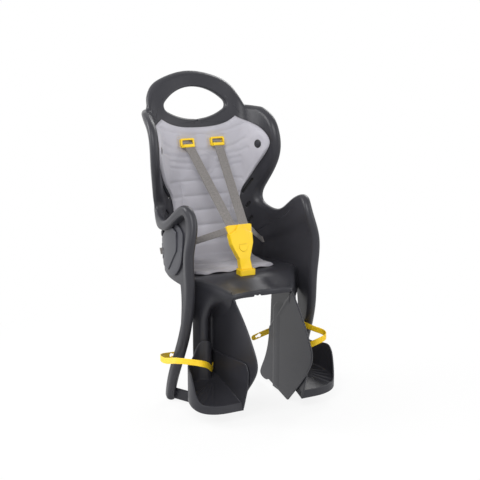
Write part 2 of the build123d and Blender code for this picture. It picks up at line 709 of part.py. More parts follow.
def buckle_tongue(side):
    """Tongue behind the crown: pockets for shoulder and lap strap, blade into the housing."""
    low, high = BUCKLE_SHOULDER + BLADE_GAP, TONGUE_TOP
    outline = Polyline((1, low), (TONGUE_SIDE - 1, low), (TONGUE_SIDE + 2, high - 2), (TONGUE_SIDE - 4, high),
                       (1, high), close=True)
    body = Pos(0, 0, TONGUE_MIDDLE) * extrude(make_face(outline), amount=TONGUE_THICK / 2, both=True)
    blade = Box(BLADE_WIDTH, BLADE_LENGTH + 1, BLADE_THICK)
    body += Pos(TONGUE_X, low - BLADE_LENGTH / 2 + 0.5, TONGUE_MIDDLE) * blade
    if side < 0:
        body = mirror(body, about=Plane.YZ)
    tongue = buckle_plane() * body
    return tongue - shoulder_strap(side, POCKET_GAP) - lap_strap(side, POCKET_GAP)


def crotch_base():
    """Block on the pan's crest that holds the foot of the buckle."""
    plan = Pos(0, BUCKLE_Y) * RectangleRounded(BASE_WIDTH, BASE_DEPTH, 4)
    block = prism_z(plan, 0, PAN_CREST + BASE_HEIGHT) - prism_x(pan_side(0))
    width, depth = 2 * BUCKLE_HALF_NECK + 2 + 2 * BLADE_GAP, BUCKLE_THICK + 2 * BLADE_GAP
    return block - buckle_plane() * Pos(0, BUCKLE_FOOT + 40) * Box(width, 80, depth)


def pad_outline():
    """Front view of the pad's back, scalloped at the top and with a flap on each wing."""
    half = [(0, 362), (50, 370), (88, 388), (112, 372), (136, 335), (128, 300), (112, 255),
            (104, 215), (106, 150), (108, 80), (108, 30)]
    right = Spline(*half)
    left = Spline(*[(-x, z) for x, z in half])
    return make_face([right, left, Line(right @ 1, left @ 1)])


def seat_pad():
    """Pad on back and seat in one piece, with openings for the strap guides."""
    near, far = -PAD_GAP, -PAD_GAP - PAD_THICK
    back = (skin(far, near) & prism_y(pad_outline())) - prism_x(pan_side(near))
    plan = Pos(0, (PAD_FRONT + BACK_FOOT) / 2) * RectangleRounded(2 * PAD_HALF, BACK_FOOT - PAD_FRONT, 22)
    slab = prism_x(pan_side(far)) - prism_x(pan_side(near))
    slab = (slab & prism_z(plan, 0, PAN_CREST + 60)) - skin(near, 70)
    pad = back + slab
    for side in (-1, 1):
        hole = RectangleRounded(GUIDE_WIDTH + 2, GUIDE_HEIGHT + 2, GUIDE_BAR)
        pad -= back_plane(side * GUIDE_X, GUIDE_Z) * extrude(hole, amount=40, both=True)
    return pad


def pad_snaps():
    """Round snaps on the pad's wing flaps."""
    seat = -PAD_GAP - PAD_THICK - SNAP_GAP
    layer = skin(seat - SNAP_THICK, seat)
    discs = Sketch() + [Pos(side * SNAP_X, SNAP_Z) * Circle(SNAP_R) for side in (-1, 1)]
    return layer & prism_y(discs)


def mount_inserts():
    """Four threaded sleeves in the boss, flush with the bolted face."""
    sleeve = Sketch() + bolt_places() * (Circle(INSERT_R) - Circle(BOLT_HOLE_R))
    return prism_z(sleeve, 0, INSERT_LENGTH)


def save(name, part):
    solids = part.solids()
    print(name, part.is_valid, len(solids), round(sum(s.volume for s in solids) / 1000, 1), "cm3")
    export_step(part, f"parts/{name}.step")


save("seat_pad", seat_pad())
save("pad_snaps", pad_snaps())
save("mount_inserts", mount_inserts())
save("harness_anchor", shoulder_anchor())
save("buckle_housing", buckle_housing())
save("buckle_button", buckle_button())
save("crotch_base", crotch_base())
rest = footrest()
for name, side, way in (("left", 1, LEFT_STRAP_WAY), ("right", -1, RIGHT_STRAP_WAY)):
    save(f"strap_guide_{name}", strap_guide(side))
    save(f"shoulder_strap_{name}", shoulder_strap(side))
    save(f"lap_strap_{name}", lap_strap(side))
    save(f"side_cover_{name}", side_cover(side))
    save(f"lap_anchor_{name}", lap_anchor(side))
    save(f"buckle_tongue_{name}", buckle_tongue(side))
    strap = foot_strap(way)
    save(f"footrest_{name}", rest if side > 0 else mirror(rest, about=Plane.YZ))
    save(f"foot_strap_{name}", strap if side > 0 else mirror(strap, about=Plane.YZ))
save("seat_shell", seat_shell())
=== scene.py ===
# %% [markdown]
# # A child bicycle seat
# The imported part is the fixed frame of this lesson: every piece below is made in metres, in the
# part's own frame, and rides on one of its bodies. Shapes are worked out in millimetres with
# numpy as whole grids, and a helper scales them once when it puts them into a mesh.

# %% Load the frame and keep its box
import json
import math
import bmesh
import bpy
import numpy as np
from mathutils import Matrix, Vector

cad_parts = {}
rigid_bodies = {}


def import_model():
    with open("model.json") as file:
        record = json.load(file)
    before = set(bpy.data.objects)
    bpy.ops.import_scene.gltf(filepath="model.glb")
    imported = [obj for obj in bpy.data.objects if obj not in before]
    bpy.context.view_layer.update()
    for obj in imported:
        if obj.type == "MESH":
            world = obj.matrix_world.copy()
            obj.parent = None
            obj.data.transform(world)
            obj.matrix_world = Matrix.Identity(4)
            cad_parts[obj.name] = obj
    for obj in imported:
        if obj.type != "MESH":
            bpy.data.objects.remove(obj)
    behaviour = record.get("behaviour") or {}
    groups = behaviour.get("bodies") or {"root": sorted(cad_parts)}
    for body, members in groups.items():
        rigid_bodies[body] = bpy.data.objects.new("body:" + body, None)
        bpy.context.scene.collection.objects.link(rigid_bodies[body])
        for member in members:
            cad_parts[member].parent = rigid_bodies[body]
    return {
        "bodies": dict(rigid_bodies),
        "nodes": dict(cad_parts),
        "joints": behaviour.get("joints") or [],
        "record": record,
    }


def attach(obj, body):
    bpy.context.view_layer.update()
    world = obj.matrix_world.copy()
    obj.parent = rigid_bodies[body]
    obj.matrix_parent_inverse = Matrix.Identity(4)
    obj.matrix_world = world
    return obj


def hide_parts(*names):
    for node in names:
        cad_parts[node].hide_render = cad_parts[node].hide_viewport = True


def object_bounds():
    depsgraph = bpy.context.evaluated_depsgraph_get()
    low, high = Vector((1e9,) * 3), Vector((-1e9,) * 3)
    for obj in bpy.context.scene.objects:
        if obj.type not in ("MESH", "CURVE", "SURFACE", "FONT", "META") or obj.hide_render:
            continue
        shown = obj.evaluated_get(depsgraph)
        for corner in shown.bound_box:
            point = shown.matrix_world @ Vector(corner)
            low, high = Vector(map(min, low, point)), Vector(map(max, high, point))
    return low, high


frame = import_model()
CAD_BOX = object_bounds()
NODES = frame["nodes"]
SCENE = bpy.context.scene
MM = 0.001
SIDES = (("left", 1), ("right", -1))

# %% [markdown]
# ## Camera, floor and light
# The seat is seen from its right front, a little above, through a long lens. A large pale floor
# meets a white world, both white to the camera, and soft area lamps give the satin plastic its
# long highlights. Lamps stay at a level at which a colour renders about as it is written.


# %% Camera
def add(name, data):
    """A new object of the scene that holds the given data."""
    made = bpy.data.objects.new(name, data)
    SCENE.collection.objects.link(made)
    return made


AZIMUTH, ELEVATION, DISTANCE = math.radians(-27), math.radians(13), 2.352
AIM = Vector((0, 0, 0.11975))
back = Vector((math.sin(AZIMUTH) * math.cos(ELEVATION), -math.cos(AZIMUTH) * math.cos(ELEVATION),
               math.sin(ELEVATION)))
camera = add("camera", bpy.data.cameras.new("camera"))
camera.data.lens, camera.data.sensor_width = 75, 36
camera.location = AIM + back * DISTANCE
camera.rotation_mode = "QUATERNION"
camera.rotation_quaternion = (-back).to_track_quat("-Z", "Y")
SCENE.camera = camera
print("camera at", [round(v, 3) for v in camera.location])


# %% Node helpers
def maker(tree):
    """Maker of nodes in a tree: links are (input, source), further words set inputs or properties."""
    def node(kind, links=(), **sets):
        n = tree.nodes.new(kind)
        for key, value in sets.items():
            socket = n.inputs.get(key.replace("_", " ").title())
            if socket is None:
                setattr(n, key, value)
            else:
                socket.default_value = value
        for socket, source in links:
            tree.links.new(source, n.inputs[socket])
        return n

    return node


def material(name):
    """A new node material, the maker of its nodes and its Principled shader."""
    made = bpy.data.materials.new(name)
    made.use_nodes = True
    return made, maker(made.node_tree), made.node_tree.nodes["Principled BSDF"]


def feed(shader, **sources):
    """Sets inputs of a node that exists: an output is linked, a plain level is written."""
    for key, source in sources.items():
        socket = shader.inputs[key.replace("_", " ")]
        if isinstance(source, bpy.types.NodeSocket):
            shader.id_data.links.new(source, socket)
        else:
            socket.default_value = source


def ramp(node, source, low, high, start=0.3, stop=0.7):
    """Colour ramp from low to high between two levels of the source."""
    r = node("ShaderNodeValToRGB", [("Fac", source)])
    for element, level, colour in zip(r.color_ramp.elements, (start, stop), (low, high)):
        element.position, element.color = level, (*colour, 1)
    return r.outputs["Color"]


def spread(node, source, low, high, start=0.0, stop=1.0):
    """The source's start to stop mapped to low to high."""
    return node("ShaderNodeMapRange", [("Value", source)], from_min=start, from_max=stop,
                to_min=low, to_max=high).outputs["Result"]


# %% World and floor
def seen_rays(node):
    """1 for camera, glossy and transmission rays, else 0."""
    path = node("ShaderNodeLightPath").outputs
    seen = path["Is Camera Ray"]
    for ray in ("Is Glossy Ray", "Is Transmission Ray"):
        seen = node("ShaderNodeMath", [(0, seen), (1, path[ray])], operation="MAXIMUM").outputs[0]
    return seen


SKY_LEVEL, WHITE = 0.34, (1, 1, 1, 1)
world = bpy.data.worlds.new("studio")
world.use_nodes = True
SCENE.world = world
node = maker(world.node_tree)
sky, white = world.node_tree.nodes["Background"], node("ShaderNodeBackground", color=WHITE)
feed(sky, Color=WHITE, Strength=SKY_LEVEL)
choose = node("ShaderNodeMixShader", [(0, seen_rays(node)), (1, sky.outputs[0]), (2, white.outputs[0])])
feed(world.node_tree.nodes["World Output"], Surface=choose.outputs[0])

FLOOR_Z, FLOOR_HALF = CAD_BOX[0].z - 0.0005, 40.0
FLOOR_GREY, GLOW_FROM, GLOW_FADE = (0.9, 0.9, 0.9, 1), 0.86, (0.35, 0.9)
corners = [(x * FLOOR_HALF, y * FLOOR_HALF, FLOOR_Z) for x, y in ((-1, -1), (1, -1), (1, 1), (-1, 1))]
floor_mesh = bpy.data.meshes.new("floor")
floor_mesh.from_pydata(corners, [], [(0, 1, 2, 3)])
floor = add("floor", floor_mesh)
floor_paint, node, shader = material("pale_floor")
feed(shader, Base_Color=FLOOR_GREY, Roughness=0.9)
glow = node("ShaderNodeEmission", color=WHITE)
place = node("ShaderNodeTexCoord").outputs["Object"]
away = node("ShaderNodeVectorMath", [(0, place)], operation="LENGTH").outputs["Value"]
fade = spread(node, away, GLOW_FROM, 1.0, *GLOW_FADE)
part = node("ShaderNodeMath", [(0, seen_rays(node)), (1, fade)], operation="MULTIPLY")
mix = node("ShaderNodeMixShader", [(0, part.outputs[0]), (1, shader.outputs[0]), (2, glow.outputs[0])])
feed(floor_paint.node_tree.nodes["Material Output"], Surface=mix.outputs[0])
floor_mesh.materials.append(floor_paint)

# %% Lamps
LAMPS = [("key", (-1.3, -1.6, 1.9), 1.3, 38), ("fill", (1.7, -1.3, 1.0), 1.6, 15),
         ("rim_left", (-1.6, 0.9, 1.2), 1.0, 28), ("rim_right", (1.5, 1.1, 1.5), 1.0, 20)]
for name, place, size, power in LAMPS:
    lamp = add(name, bpy.data.lights.new(name, "AREA"))
    lamp.data.size, lamp.data.energy = size, power
    lamp.location = place
    lamp.rotation_mode = "QUATERNION"
    lamp.rotation_quaternion = (AIM - lamp.location).to_track_quat("-Z", "Y")
SCENE.view_settings.view_transform = "Standard"
print("lamps", len(LAMPS), "floor at", round(FLOOR_Z, 4))

# %% [markdown]
# ## Finishes
# The shell is one satin charcoal moulding with a fine spark-eroded grain, so its colour and
# roughness wander a little and the grain is a small bump. The buckle and guides are a smooth
# bright yellow, the webbing a plain weave that follows the strap's own UV map, the pad a
# brushed quilted cloth.


# %% Moulded plastics
def noise(node, scale, detail):
    """Noise over the piece's own coordinates."""
    place = node("ShaderNodeTexCoord").outputs["Object"]
    return node("ShaderNodeTexNoise", [("Vector", place)], scale=scale, detail=detail).outputs["Fac"]


def bumped(node, height, strength, distance):
    """Normal that follows a height, in metres of distance."""
    return node("ShaderNodeBump", [("Height", height)], strength=strength, distance=distance).outputs["Normal"]


def moulded(name, dark, light, rough, grain=900.0, bump=0.06, gloss=0.5, metal=0.0):
    """Moulded plastic or metal: soft colour drift, roughness drift and a fine grain bump."""
    made, node, shader = material(name)
    drift = noise(node, 9.0, 4.0)
    feed(shader, Base_Color=ramp(node, drift, dark, light), Metallic=metal, Specular_IOR_Level=gloss,
         Roughness=spread(node, drift, rough - 0.05, rough + 0.06),
         Normal=bumped(node, noise(node, grain, 3.0), bump, 0.0004))
    return made


CHARCOAL = moulded("charcoal_shell", (0.028, 0.028, 0.034), (0.037, 0.037, 0.044), 0.36, gloss=0.3)
COVER_GREY = moulded("charcoal_cover", (0.036, 0.037, 0.046), (0.046, 0.047, 0.057), 0.38, gloss=0.3)
SNAP_DARK = moulded("dark_snap", (0.018, 0.018, 0.021), (0.026, 0.026, 0.030), 0.35)
YELLOW = moulded("bright_yellow", (0.96, 0.62, 0.010), (1.0, 0.69, 0.018), 0.32, bump=0.02)
YELLOW_SOFT = moulded("soft_yellow", (0.96, 0.61, 0.010), (1.0, 0.68, 0.018), 0.45, bump=0.05)
STEEL = moulded("plate_steel", (0.42, 0.42, 0.43), (0.52, 0.52, 0.53), 0.38, 400.0, 0.1, metal=1.0)
BRASS = moulded("turned_brass", (0.55, 0.42, 0.18), (0.66, 0.52, 0.25), 0.3, 700.0, metal=1.0)
print("plastics and metals", len(bpy.data.materials))


# %% Cloth finishes
def woven(name, dark, light, ribs):
    """Webbing: warp and weft ribs from the strap's UV map, in ribs per unit of UV."""
    made, node, shader = material(name)
    uv = node("ShaderNodeUVMap", uv_map="UVMap").outputs["UV"]
    warp, weft = (node("ShaderNodeTexWave", [("Vector", uv)], bands_direction=way, scale=ribs,
                       distortion=0.0).outputs["Fac"] for way in "XY")
    cloth = node("ShaderNodeMath", [(0, warp), (1, weft)], operation="MULTIPLY").outputs[0]
    both = node("ShaderNodeMath", [(0, cloth), (1, noise(node, 260.0, 4.0))], operation="ADD").outputs[0]
    feed(shader, Base_Color=ramp(node, both, dark, light, stop=1.0), Roughness=0.75, Sheen_Weight=0.25,
         Normal=bumped(node, cloth, 0.35, 0.0006))
    return made


def brushed(name, dark, light):
    """Pad cover: brushed cloth, its colour drifting softly, with a fine nap."""
    made, node, shader = material(name)
    feed(shader, Base_Color=ramp(node, noise(node, 14.0, 5.0), dark, light), Roughness=0.85, Sheen_Weight=0.3,
         Normal=bumped(node, noise(node, 700.0, 2.0), 0.25, 0.0008))
    return made


WEBBING_GREY = woven("grey_webbing", (0.15, 0.14, 0.135), (0.27, 0.25, 0.24), 22.0)
PAD_CLOTH = brushed("pad_cloth", (0.46, 0.45, 0.50), (0.54, 0.53, 0.58))
print("cloths", WEBBING_GREY.name, PAD_CLOTH.name)

# %% [markdown]
# ## Curves and grids
# A few small tools serve every piece: a smooth curve through given points, a line with rounded
# corners, the faces of a grid, and a maker that turns points in millimetres into a named mesh
# that rides on a body.


# %% Curve tools
def unit(v):
    """The same vectors with length 1."""
    return v / np.linalg.norm(v, axis=-1, keepdims=True)


def sided(side):
    """Factor that sets points of the left half (side 1) on the right (side -1)."""
    return np.array([side, 1, 1])


def raised(plan, z):
    """Points in space from plan points and their heights."""
    return np.concatenate([plan, np.broadcast_to(z, plan.shape[:-1])[..., None]], -1)


def end_slope(knots, values, at):
    """Slope at `at` of the cubic through the four given points."""
    powers = np.vander(knots - at, 4, increasing=True)
    return np.linalg.solve(powers, values.reshape(4, -1))[1].reshape(values.shape[1:])


def cubic(knots, values, at):
    """Smooth cubic through values at knots, its end slopes those of the nearest four points."""
    x, y = np.asarray(knots, float), np.asarray(values, float)
    n, h = len(x), np.diff(x)
    step = np.diff(y, axis=0) / h.reshape(-1, *[1] * (y.ndim - 1))
    system, right = np.eye(n), np.zeros_like(y)
    right[0], right[-1] = end_slope(x[:4], y[:4], x[0]), end_slope(x[-4:], y[-4:], x[-1])
    rows = np.arange(1, n - 1)
    system[rows, rows - 1], system[rows, rows + 1] = h[1:], h[:-1]
    system[rows, rows] = 2 * (h[1:] + h[:-1])
    shape = (-1, *[1] * (y.ndim - 1))
    right[1:-1] = 3 * (h[1:].reshape(shape) * step[:-1] + h[:-1].reshape(shape) * step[1:])
    slope = np.linalg.solve(system, right.reshape(n, -1)).reshape(y.shape)
    at = np.asarray(at, float)
    i = np.clip(np.searchsorted(x, at) - 1, 0, n - 2)
    t = ((at - x[i]) / h[i]).reshape(-1, *[1] * (y.ndim - 1))
    span = h[i].reshape(t.shape)
    return ((1 + 2 * t) * (1 - t) ** 2 * y[i] + t * (1 - t) ** 2 * span * slope[i]
            + t * t * (3 - 2 * t) * y[i + 1] + t * t * (t - 1) * span * slope[i + 1])


def lengths(points):
    """Distance along a line of points, from 0."""
    return np.concatenate([[0], np.cumsum(np.linalg.norm(np.diff(points, axis=0), axis=1))])


def curve(points, count):
    """Smooth curve through points at their chord lengths, as `count` even points."""
    p = np.asarray(points, float)
    fine = cubic(lengths(p), p, np.linspace(0, lengths(p)[-1], 24 * len(p)))
    return even(fine, count)


def even(points, count):
    """The same line as `count` points evenly spaced along it."""
    s = lengths(points)
    at = np.linspace(0, s[-1], count)
    return np.stack([np.interp(at, s, c) for c in points.T], -1)


def rounded(points, radii, count):
    """Line of straight runs with its inner corners rounded to the given radii."""
    p, line = np.asarray(points, float), []
    for a, b, c, r in zip(p[:-2], p[1:-1], p[2:], radii):
        u, v = unit(a - b), unit(c - b)
        half = math.acos(np.clip(u @ v, -1, 1)) / 2
        reach = r / math.tan(half)
        middle = b + unit(u + v) * r / math.sin(half)
        start, stop = b + u * reach - middle, b + v * reach - middle
        t = np.linspace(0, 1, 24)[:, None]
        arc = start * (1 - t) + stop * t
        line.append(middle + unit(arc) * r)
    return even(np.vstack([p[:1], *line, p[-1:]]), count)


def box_outline(half_width, half_height, radius, count):
    """Rounded box, from the middle of its lower edge round by the right."""
    w, h = half_width, half_height
    return rounded([(0, -h), (w, -h), (w, h), (-w, h), (-w, -h), (0, -h)], [radius] * 4, count)[:-1]


def closed_line(pieces, count):
    """Closed outline from its pieces, evenly respaced."""
    p = np.vstack([np.asarray(q, float) for q in pieces])
    return even(np.vstack([p, p[:1]]), count + 1)[:-1]


def step_up(x):
    """0 below 0, 1 above 1, smooth between."""
    x = np.clip(x, 0, 1)
    return x * x * (3 - 2 * x)


# %% Grid and mesh tools
def grid_faces(rows, columns, wrap_rows=False, wrap_columns=False):
    """Quads of a grid of points, joined end to end where it wraps."""
    i = np.arange(rows * columns).reshape(rows, columns)
    if wrap_rows:
        i = np.vstack([i, i[:1]])
    if wrap_columns:
        i = np.hstack([i, i[:, :1]])
    return np.stack([i[:-1, :-1], i[1:, :-1], i[1:, 1:], i[:-1, 1:]], -1).reshape(-1, 4)


def settle(mesh, weld=0.0, smooth=False):
    """Welds points within `weld` mm, turns the faces outwards and shades them smooth or flat."""
    shape = bmesh.new()
    shape.from_mesh(mesh)
    if weld:
        bmesh.ops.remove_doubles(shape, verts=shape.verts, dist=weld * MM)
    bmesh.ops.recalc_face_normals(shape, faces=shape.faces)
    for face in shape.faces:
        face.smooth = smooth
    shape.to_mesh(mesh)
    shape.free()


def put(name, points, faces, paint, slot, body="seat", uv=None, weld=0.02):
    """Mesh piece from points in millimetres: welded, faces outwards, painted, riding on its body."""
    mesh = bpy.data.meshes.new(name)
    mesh.from_pydata((np.asarray(points).reshape(-1, 3) * MM).tolist(), [], np.asarray(faces).tolist())
    if uv is not None:
        layer = mesh.uv_layers.new(name="UVMap")
        loops = np.empty(len(mesh.loops), np.int32)
        mesh.loops.foreach_get("vertex_index", loops)
        layer.data.foreach_set("uv", np.asarray(uv, np.float32).reshape(-1, 2)[loops].ravel())
    settle(mesh, weld, smooth=True)
    mesh.materials.append(paint)
    piece = add(name, mesh)
    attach(piece, body)
    print(name, len(mesh.vertices), "points", len(mesh.polygons), "faces")
    return piece


# %% [markdown]
# ## The bucket's inner face
# The real shell is one flowing wall. Its plan at eleven even heights is given by four points on
# each side; a cubic across and a cubic upwards fill the rest. The result is kept as a fine
# table over (across, height), from which any point, slope or normal is read.

# %% Bucket table
BACK_FOOT, RECLINE, HEAD_HEIGHT, HEAD_RECLINE, LIP_TOP = 166.0, 9.0, 330.0, 21.0, 24.0
SECTIONS = np.array([
    (0, 100, 10, 142, 48, 158, 100, 176, 270), (0, 102, 11, 143, 50, 159, 100, 176, 270),
    (0, 104, 11, 142, 50, 157, 100, 175, 275), (4, 107, 12, 139, 49, 152, 100, 173, 280),
    (5, 109, 13, 135, 48, 146, 101, 171, 288), (0, 108, 14, 131, 48, 142, 103, 172, 295),
    (0, 104, 13, 133, 47, 143, 105, 160, 303), (0, 99, 11, 133, 46, 152, 100, 166, 310),
    (0, 94, 8, 126, 28, 148, 88, 170, 315), (0, 90, 4, 128, 10, 148, 58, 172, 320),
    (0, 90, 4, 128, 9, 148, 56, 172, 320)], float)
SECTION_Z = -290 + 82.0 * np.arange(len(SECTIONS))
PACE = np.array([0.0, 0.25, 0.31, 0.37, 0.5, 0.63, 0.69, 0.75, 1.0])


def back_y(z):
    """Inside of the back at height z: it leans, and leans more behind the head."""
    lean, head = math.tan(math.radians(RECLINE)), math.tan(math.radians(HEAD_RECLINE))
    return BACK_FOOT + (z - LIP_TOP) * lean + np.maximum(z - HEAD_HEIGHT, 0) * (head - lean)


half = SECTIONS[:, 1:].reshape(-1, 4, 2)
back_line = back_y(SECTION_Z) - SECTIONS[:, 0]
spine = np.zeros((len(half), 1))
x_points = np.concatenate([-half[:, ::-1, 0], spine, half[:, :, 0]], 1)
y_points = back_line[:, None] - np.concatenate([half[:, ::-1, 1], spine, half[:, :, 1]], 1)
ACROSS, HEIGHTS = np.linspace(0, 1, 301), np.linspace(SECTION_Z[0], SECTION_Z[-1], 411)
plan = cubic(PACE, np.stack([x_points.T, y_points.T], -1), 0.5 + ACROSS / 2)
flat = cubic(SECTION_Z, np.moveaxis(plan, 1, 0), HEIGHTS)
TABLE = raised(np.moveaxis(flat, 1, 0), HEIGHTS)
SLOPE_W = np.gradient(TABLE, ACROSS, axis=0)
SLOPE_Z = np.gradient(TABLE, HEIGHTS, axis=1)
print("bucket table", TABLE.shape)


# %% Reading the table
def read(table, w, z):
    """Table value at (across, height), linear between its entries."""
    i = np.clip(w * (len(ACROSS) - 1), 0, len(ACROSS) - 1.001)
    j = np.clip((z - HEIGHTS[0]) / (HEIGHTS[1] - HEIGHTS[0]), 0, len(HEIGHTS) - 1.001)
    a, b = i.astype(int), j.astype(int)
    s, t = (i - a)[..., None], (j - b)[..., None]
    return ((1 - s) * (1 - t) * table[a, b] + s * (1 - t) * table[a + 1, b]
            + (1 - s) * t * table[a, b + 1] + s * t * table[a + 1, b + 1])


def wall_normal(w, z):
    """Unit normal of the bucket, pointing out of it."""
    return unit(np.cross(read(SLOPE_Z, w, z), read(SLOPE_W, w, z)))


def across_at(z, value, axis):
    """Across value at which the bucket at height z has the given x (axis 0) or y (axis 1)."""
    sign = 1 if axis == 0 else -1
    track = read(TABLE, *np.broadcast_arrays(ACROSS, z[:, None]))[..., axis] * sign
    goal = np.asarray(value) * sign
    i = np.clip((track < goal[:, None]).sum(1) - 1, 0, len(ACROSS) - 2)
    k = np.arange(len(z))
    share = (goal - track[k, i]) / np.maximum(track[k, i + 1] - track[k, i], 1e-6)
    return (i + np.clip(share, 0, 1)) / (len(ACROSS) - 1)


def march(w, z, heading, steps):
    """Walk over the bucket from (across, height) along a heading, to each distance of steps."""
    ws, zs = [w], [z]
    for step in np.diff(steps):
        a, b = read(SLOPE_W, ws[-1], zs[-1]), read(SLOPE_Z, ws[-1], zs[-1])
        aa, ab, bb = (a * a).sum(-1), (a * b).sum(-1), (b * b).sum(-1)
        ha, hb = (a * heading).sum(-1), (b * heading).sum(-1)
        det = aa * bb - ab * ab
        dw, dz = (ha * bb - hb * ab) / det, (hb * aa - ha * ab) / det
        size = np.linalg.norm(a * dw[:, None] + b * dz[:, None], axis=-1)
        ws.append(np.clip(ws[-1] + dw * step / size, 0, 1))
        zs.append(zs[-1] + dz * step / size)
    return np.stack(ws, 1), np.stack(zs, 1)


print("bucket at 100 mm", read(TABLE, np.array([0.0, 1.0]), np.array([100.0, 100.0])).round(1).tolist())

# %% [markdown]
# ## The shell's wall and rolled border
# On the real seat the wall ends in a fat rolled border that runs up the strut, over the armrest,
# through the waist, round the wing and over the carry handle. The wall is drawn here as one
# closed profile carried along that border: inside face, rounded nose, outside of the border,
# step, outside of the wall. Each station of the border has a partner on the inner edge: the
# strut's rear, the base, the middle of the back, and then the grip hole.

# %% Border line and its partner
STRUT_FOOT, STRUT_TIP, ARM_FRONT, ARM_TOP = -255.0, 22.0, -82.0, 220.0
WAIST_Y, WAIST_Z, WING_FRONT, WING_Z, SHOULDER_Z = 158.0, 164.0, 112.0, 335.0, 412.0
HANDLE_HALF, HANDLE_TOP, SHELL_BASE = 130.0, 498.0, 28.0
GRIP_HALF, GRIP_Z, GRIP_RISE, GRIP_DROP, GRIP_ROUND = 90.0, 412.0, 47.0, 31.0, 14.0


def side_line(points, count):
    """Side view curve (y, z) on the bucket, as (across, height)."""
    p = curve(points, count)
    return np.stack([across_at(p[:, 1], p[:, 0], 1), p[:, 1]], -1)


def front_line(points):
    """Front view line (x, z) on the bucket, as (across, height)."""
    return np.stack([across_at(points[:, 1], points[:, 0], 0), points[:, 1]], -1)


def on_wall(line):
    """Points in space of a line of (across, height)."""
    return read(TABLE, line[:, 0], line[:, 1])


def even_on_wall(line, count):
    """A line of (across, height) respaced evenly by its length in space."""
    s = lengths(on_wall(line))
    at = np.linspace(0, s[-1], count)
    return np.stack([np.interp(at, s, line[:, 0]), np.interp(at, s, line[:, 1])], -1)


shoulder = float(back_y(SHOULDER_Z)) - 12
front = side_line([
    (STRUT_TIP, STRUT_FOOT - 2), (STRUT_TIP - 56, STRUT_FOOT + 117), (ARM_FRONT + 14, STRUT_FOOT + 206),
    (ARM_FRONT + 4, LIP_TOP), (ARM_FRONT, ARM_TOP - 105), (ARM_FRONT + 5, ARM_TOP - 50),
    (ARM_FRONT + 40, ARM_TOP), (ARM_FRONT + 80, ARM_TOP - 7), (WAIST_Y - 50, WAIST_Z), (WAIST_Y, WAIST_Z + 20),
    (WING_FRONT + 27, WING_Z - 100), (WING_FRONT, WING_Z), (WING_FRONT + 22, WING_Z + 46),
    (shoulder - 60, SHOULDER_Z - 7), (shoulder, SHOULDER_Z + 4)], 700)
front = front[:np.argmax(front[:, 1] > SHOULDER_Z - 2)]
arch = front_line(curve([
    (HANDLE_HALF, SHOULDER_Z), (HANDLE_HALF - 8, SHOULDER_Z + 30), (HANDLE_HALF - 28, SHOULDER_Z + 56),
    (0.55 * HANDLE_HALF, HANDLE_TOP - 14), (0, HANDLE_TOP), (-0.55 * HANDLE_HALF, HANDLE_TOP - 14)], 400))
arch = arch[:np.argmax(arch[:, 0] <= 0) + 1]
ROWS = 440
border = even_on_wall(np.vstack([front, arch]), ROWS)
border_at = on_wall(border)
print("border", border_at[[0, 200, -1]].round(1).tolist(), round(lengths(border_at)[-1]), "mm long")


# %% Partner line on the inner edge
def grip_line(count):
    """Right half of the eye-shaped grip hole, bottom middle to top middle, its end rounded."""
    up_r = (GRIP_HALF ** 2 + GRIP_RISE ** 2) / (2 * GRIP_RISE)
    low_r = (GRIP_HALF ** 2 + GRIP_DROP ** 2) / (2 * GRIP_DROP)
    up_z, low_z = GRIP_Z + GRIP_RISE - up_r, GRIP_Z - GRIP_DROP + low_r
    gap = low_z - up_z
    z = (up_z + low_z) / 2 + ((up_r - GRIP_ROUND) ** 2 - (low_r - GRIP_ROUND) ** 2) / (2 * gap)
    x = math.sqrt((up_r - GRIP_ROUND) ** 2 - (z - up_z) ** 2)
    low_end, up_end = math.atan2(x, low_z - z), math.atan2(x, z - up_z)
    a, b = np.linspace(0, low_end, count), np.linspace(up_end, 0, count)
    c = np.linspace(-math.pi / 2 + low_end, math.pi / 2 - up_end, count)[1:-1]
    return np.concatenate([np.stack([low_r * np.sin(a), low_z - low_r * np.cos(a)], -1),
                           np.stack([x + GRIP_ROUND * np.cos(c), z + GRIP_ROUND * np.sin(c)], -1),
                           np.stack([up_r * np.sin(b), up_z + up_r * np.cos(b)], -1)])


grip = grip_line(80)
tip = int(np.argmax(grip[:, 0]))
strut_rear = side_line([(64, -267), (21, -182), (-1, -112), (-8, -60), (4, SHELL_BASE)], 300)
strut_rear = strut_rear[strut_rear[:, 1] >= STRUT_FOOT]
base = np.stack([np.linspace(strut_rear[-1, 0], 0, 120), np.full(120, SHELL_BASE)], -1)
middle = np.stack([np.zeros(80), np.linspace(SHELL_BASE, GRIP_Z - GRIP_DROP, 80)], -1)
pieces = [strut_rear, base, middle, front_line(grip[:tip + 1]), front_line(grip[tip:])]
arm_row = int(np.argmax(border[:ROWS // 2, 1]))
waist_row = arm_row + int(np.argmin(border[arm_row:arm_row + ROWS // 3, 1]))


def row_where(column, value, start):
    """First row from start at which the border's x, y or z passes value."""
    track = border_at[start:, column]
    return start + int(np.argmax((track > value) != (track[0] > value)))


def up_middle(z):
    """Length along the partner line to height z on the middle of the back."""
    return ends[2] + parts[2] * (z - SHELL_BASE) / (GRIP_Z - GRIP_DROP - SHELL_BASE)


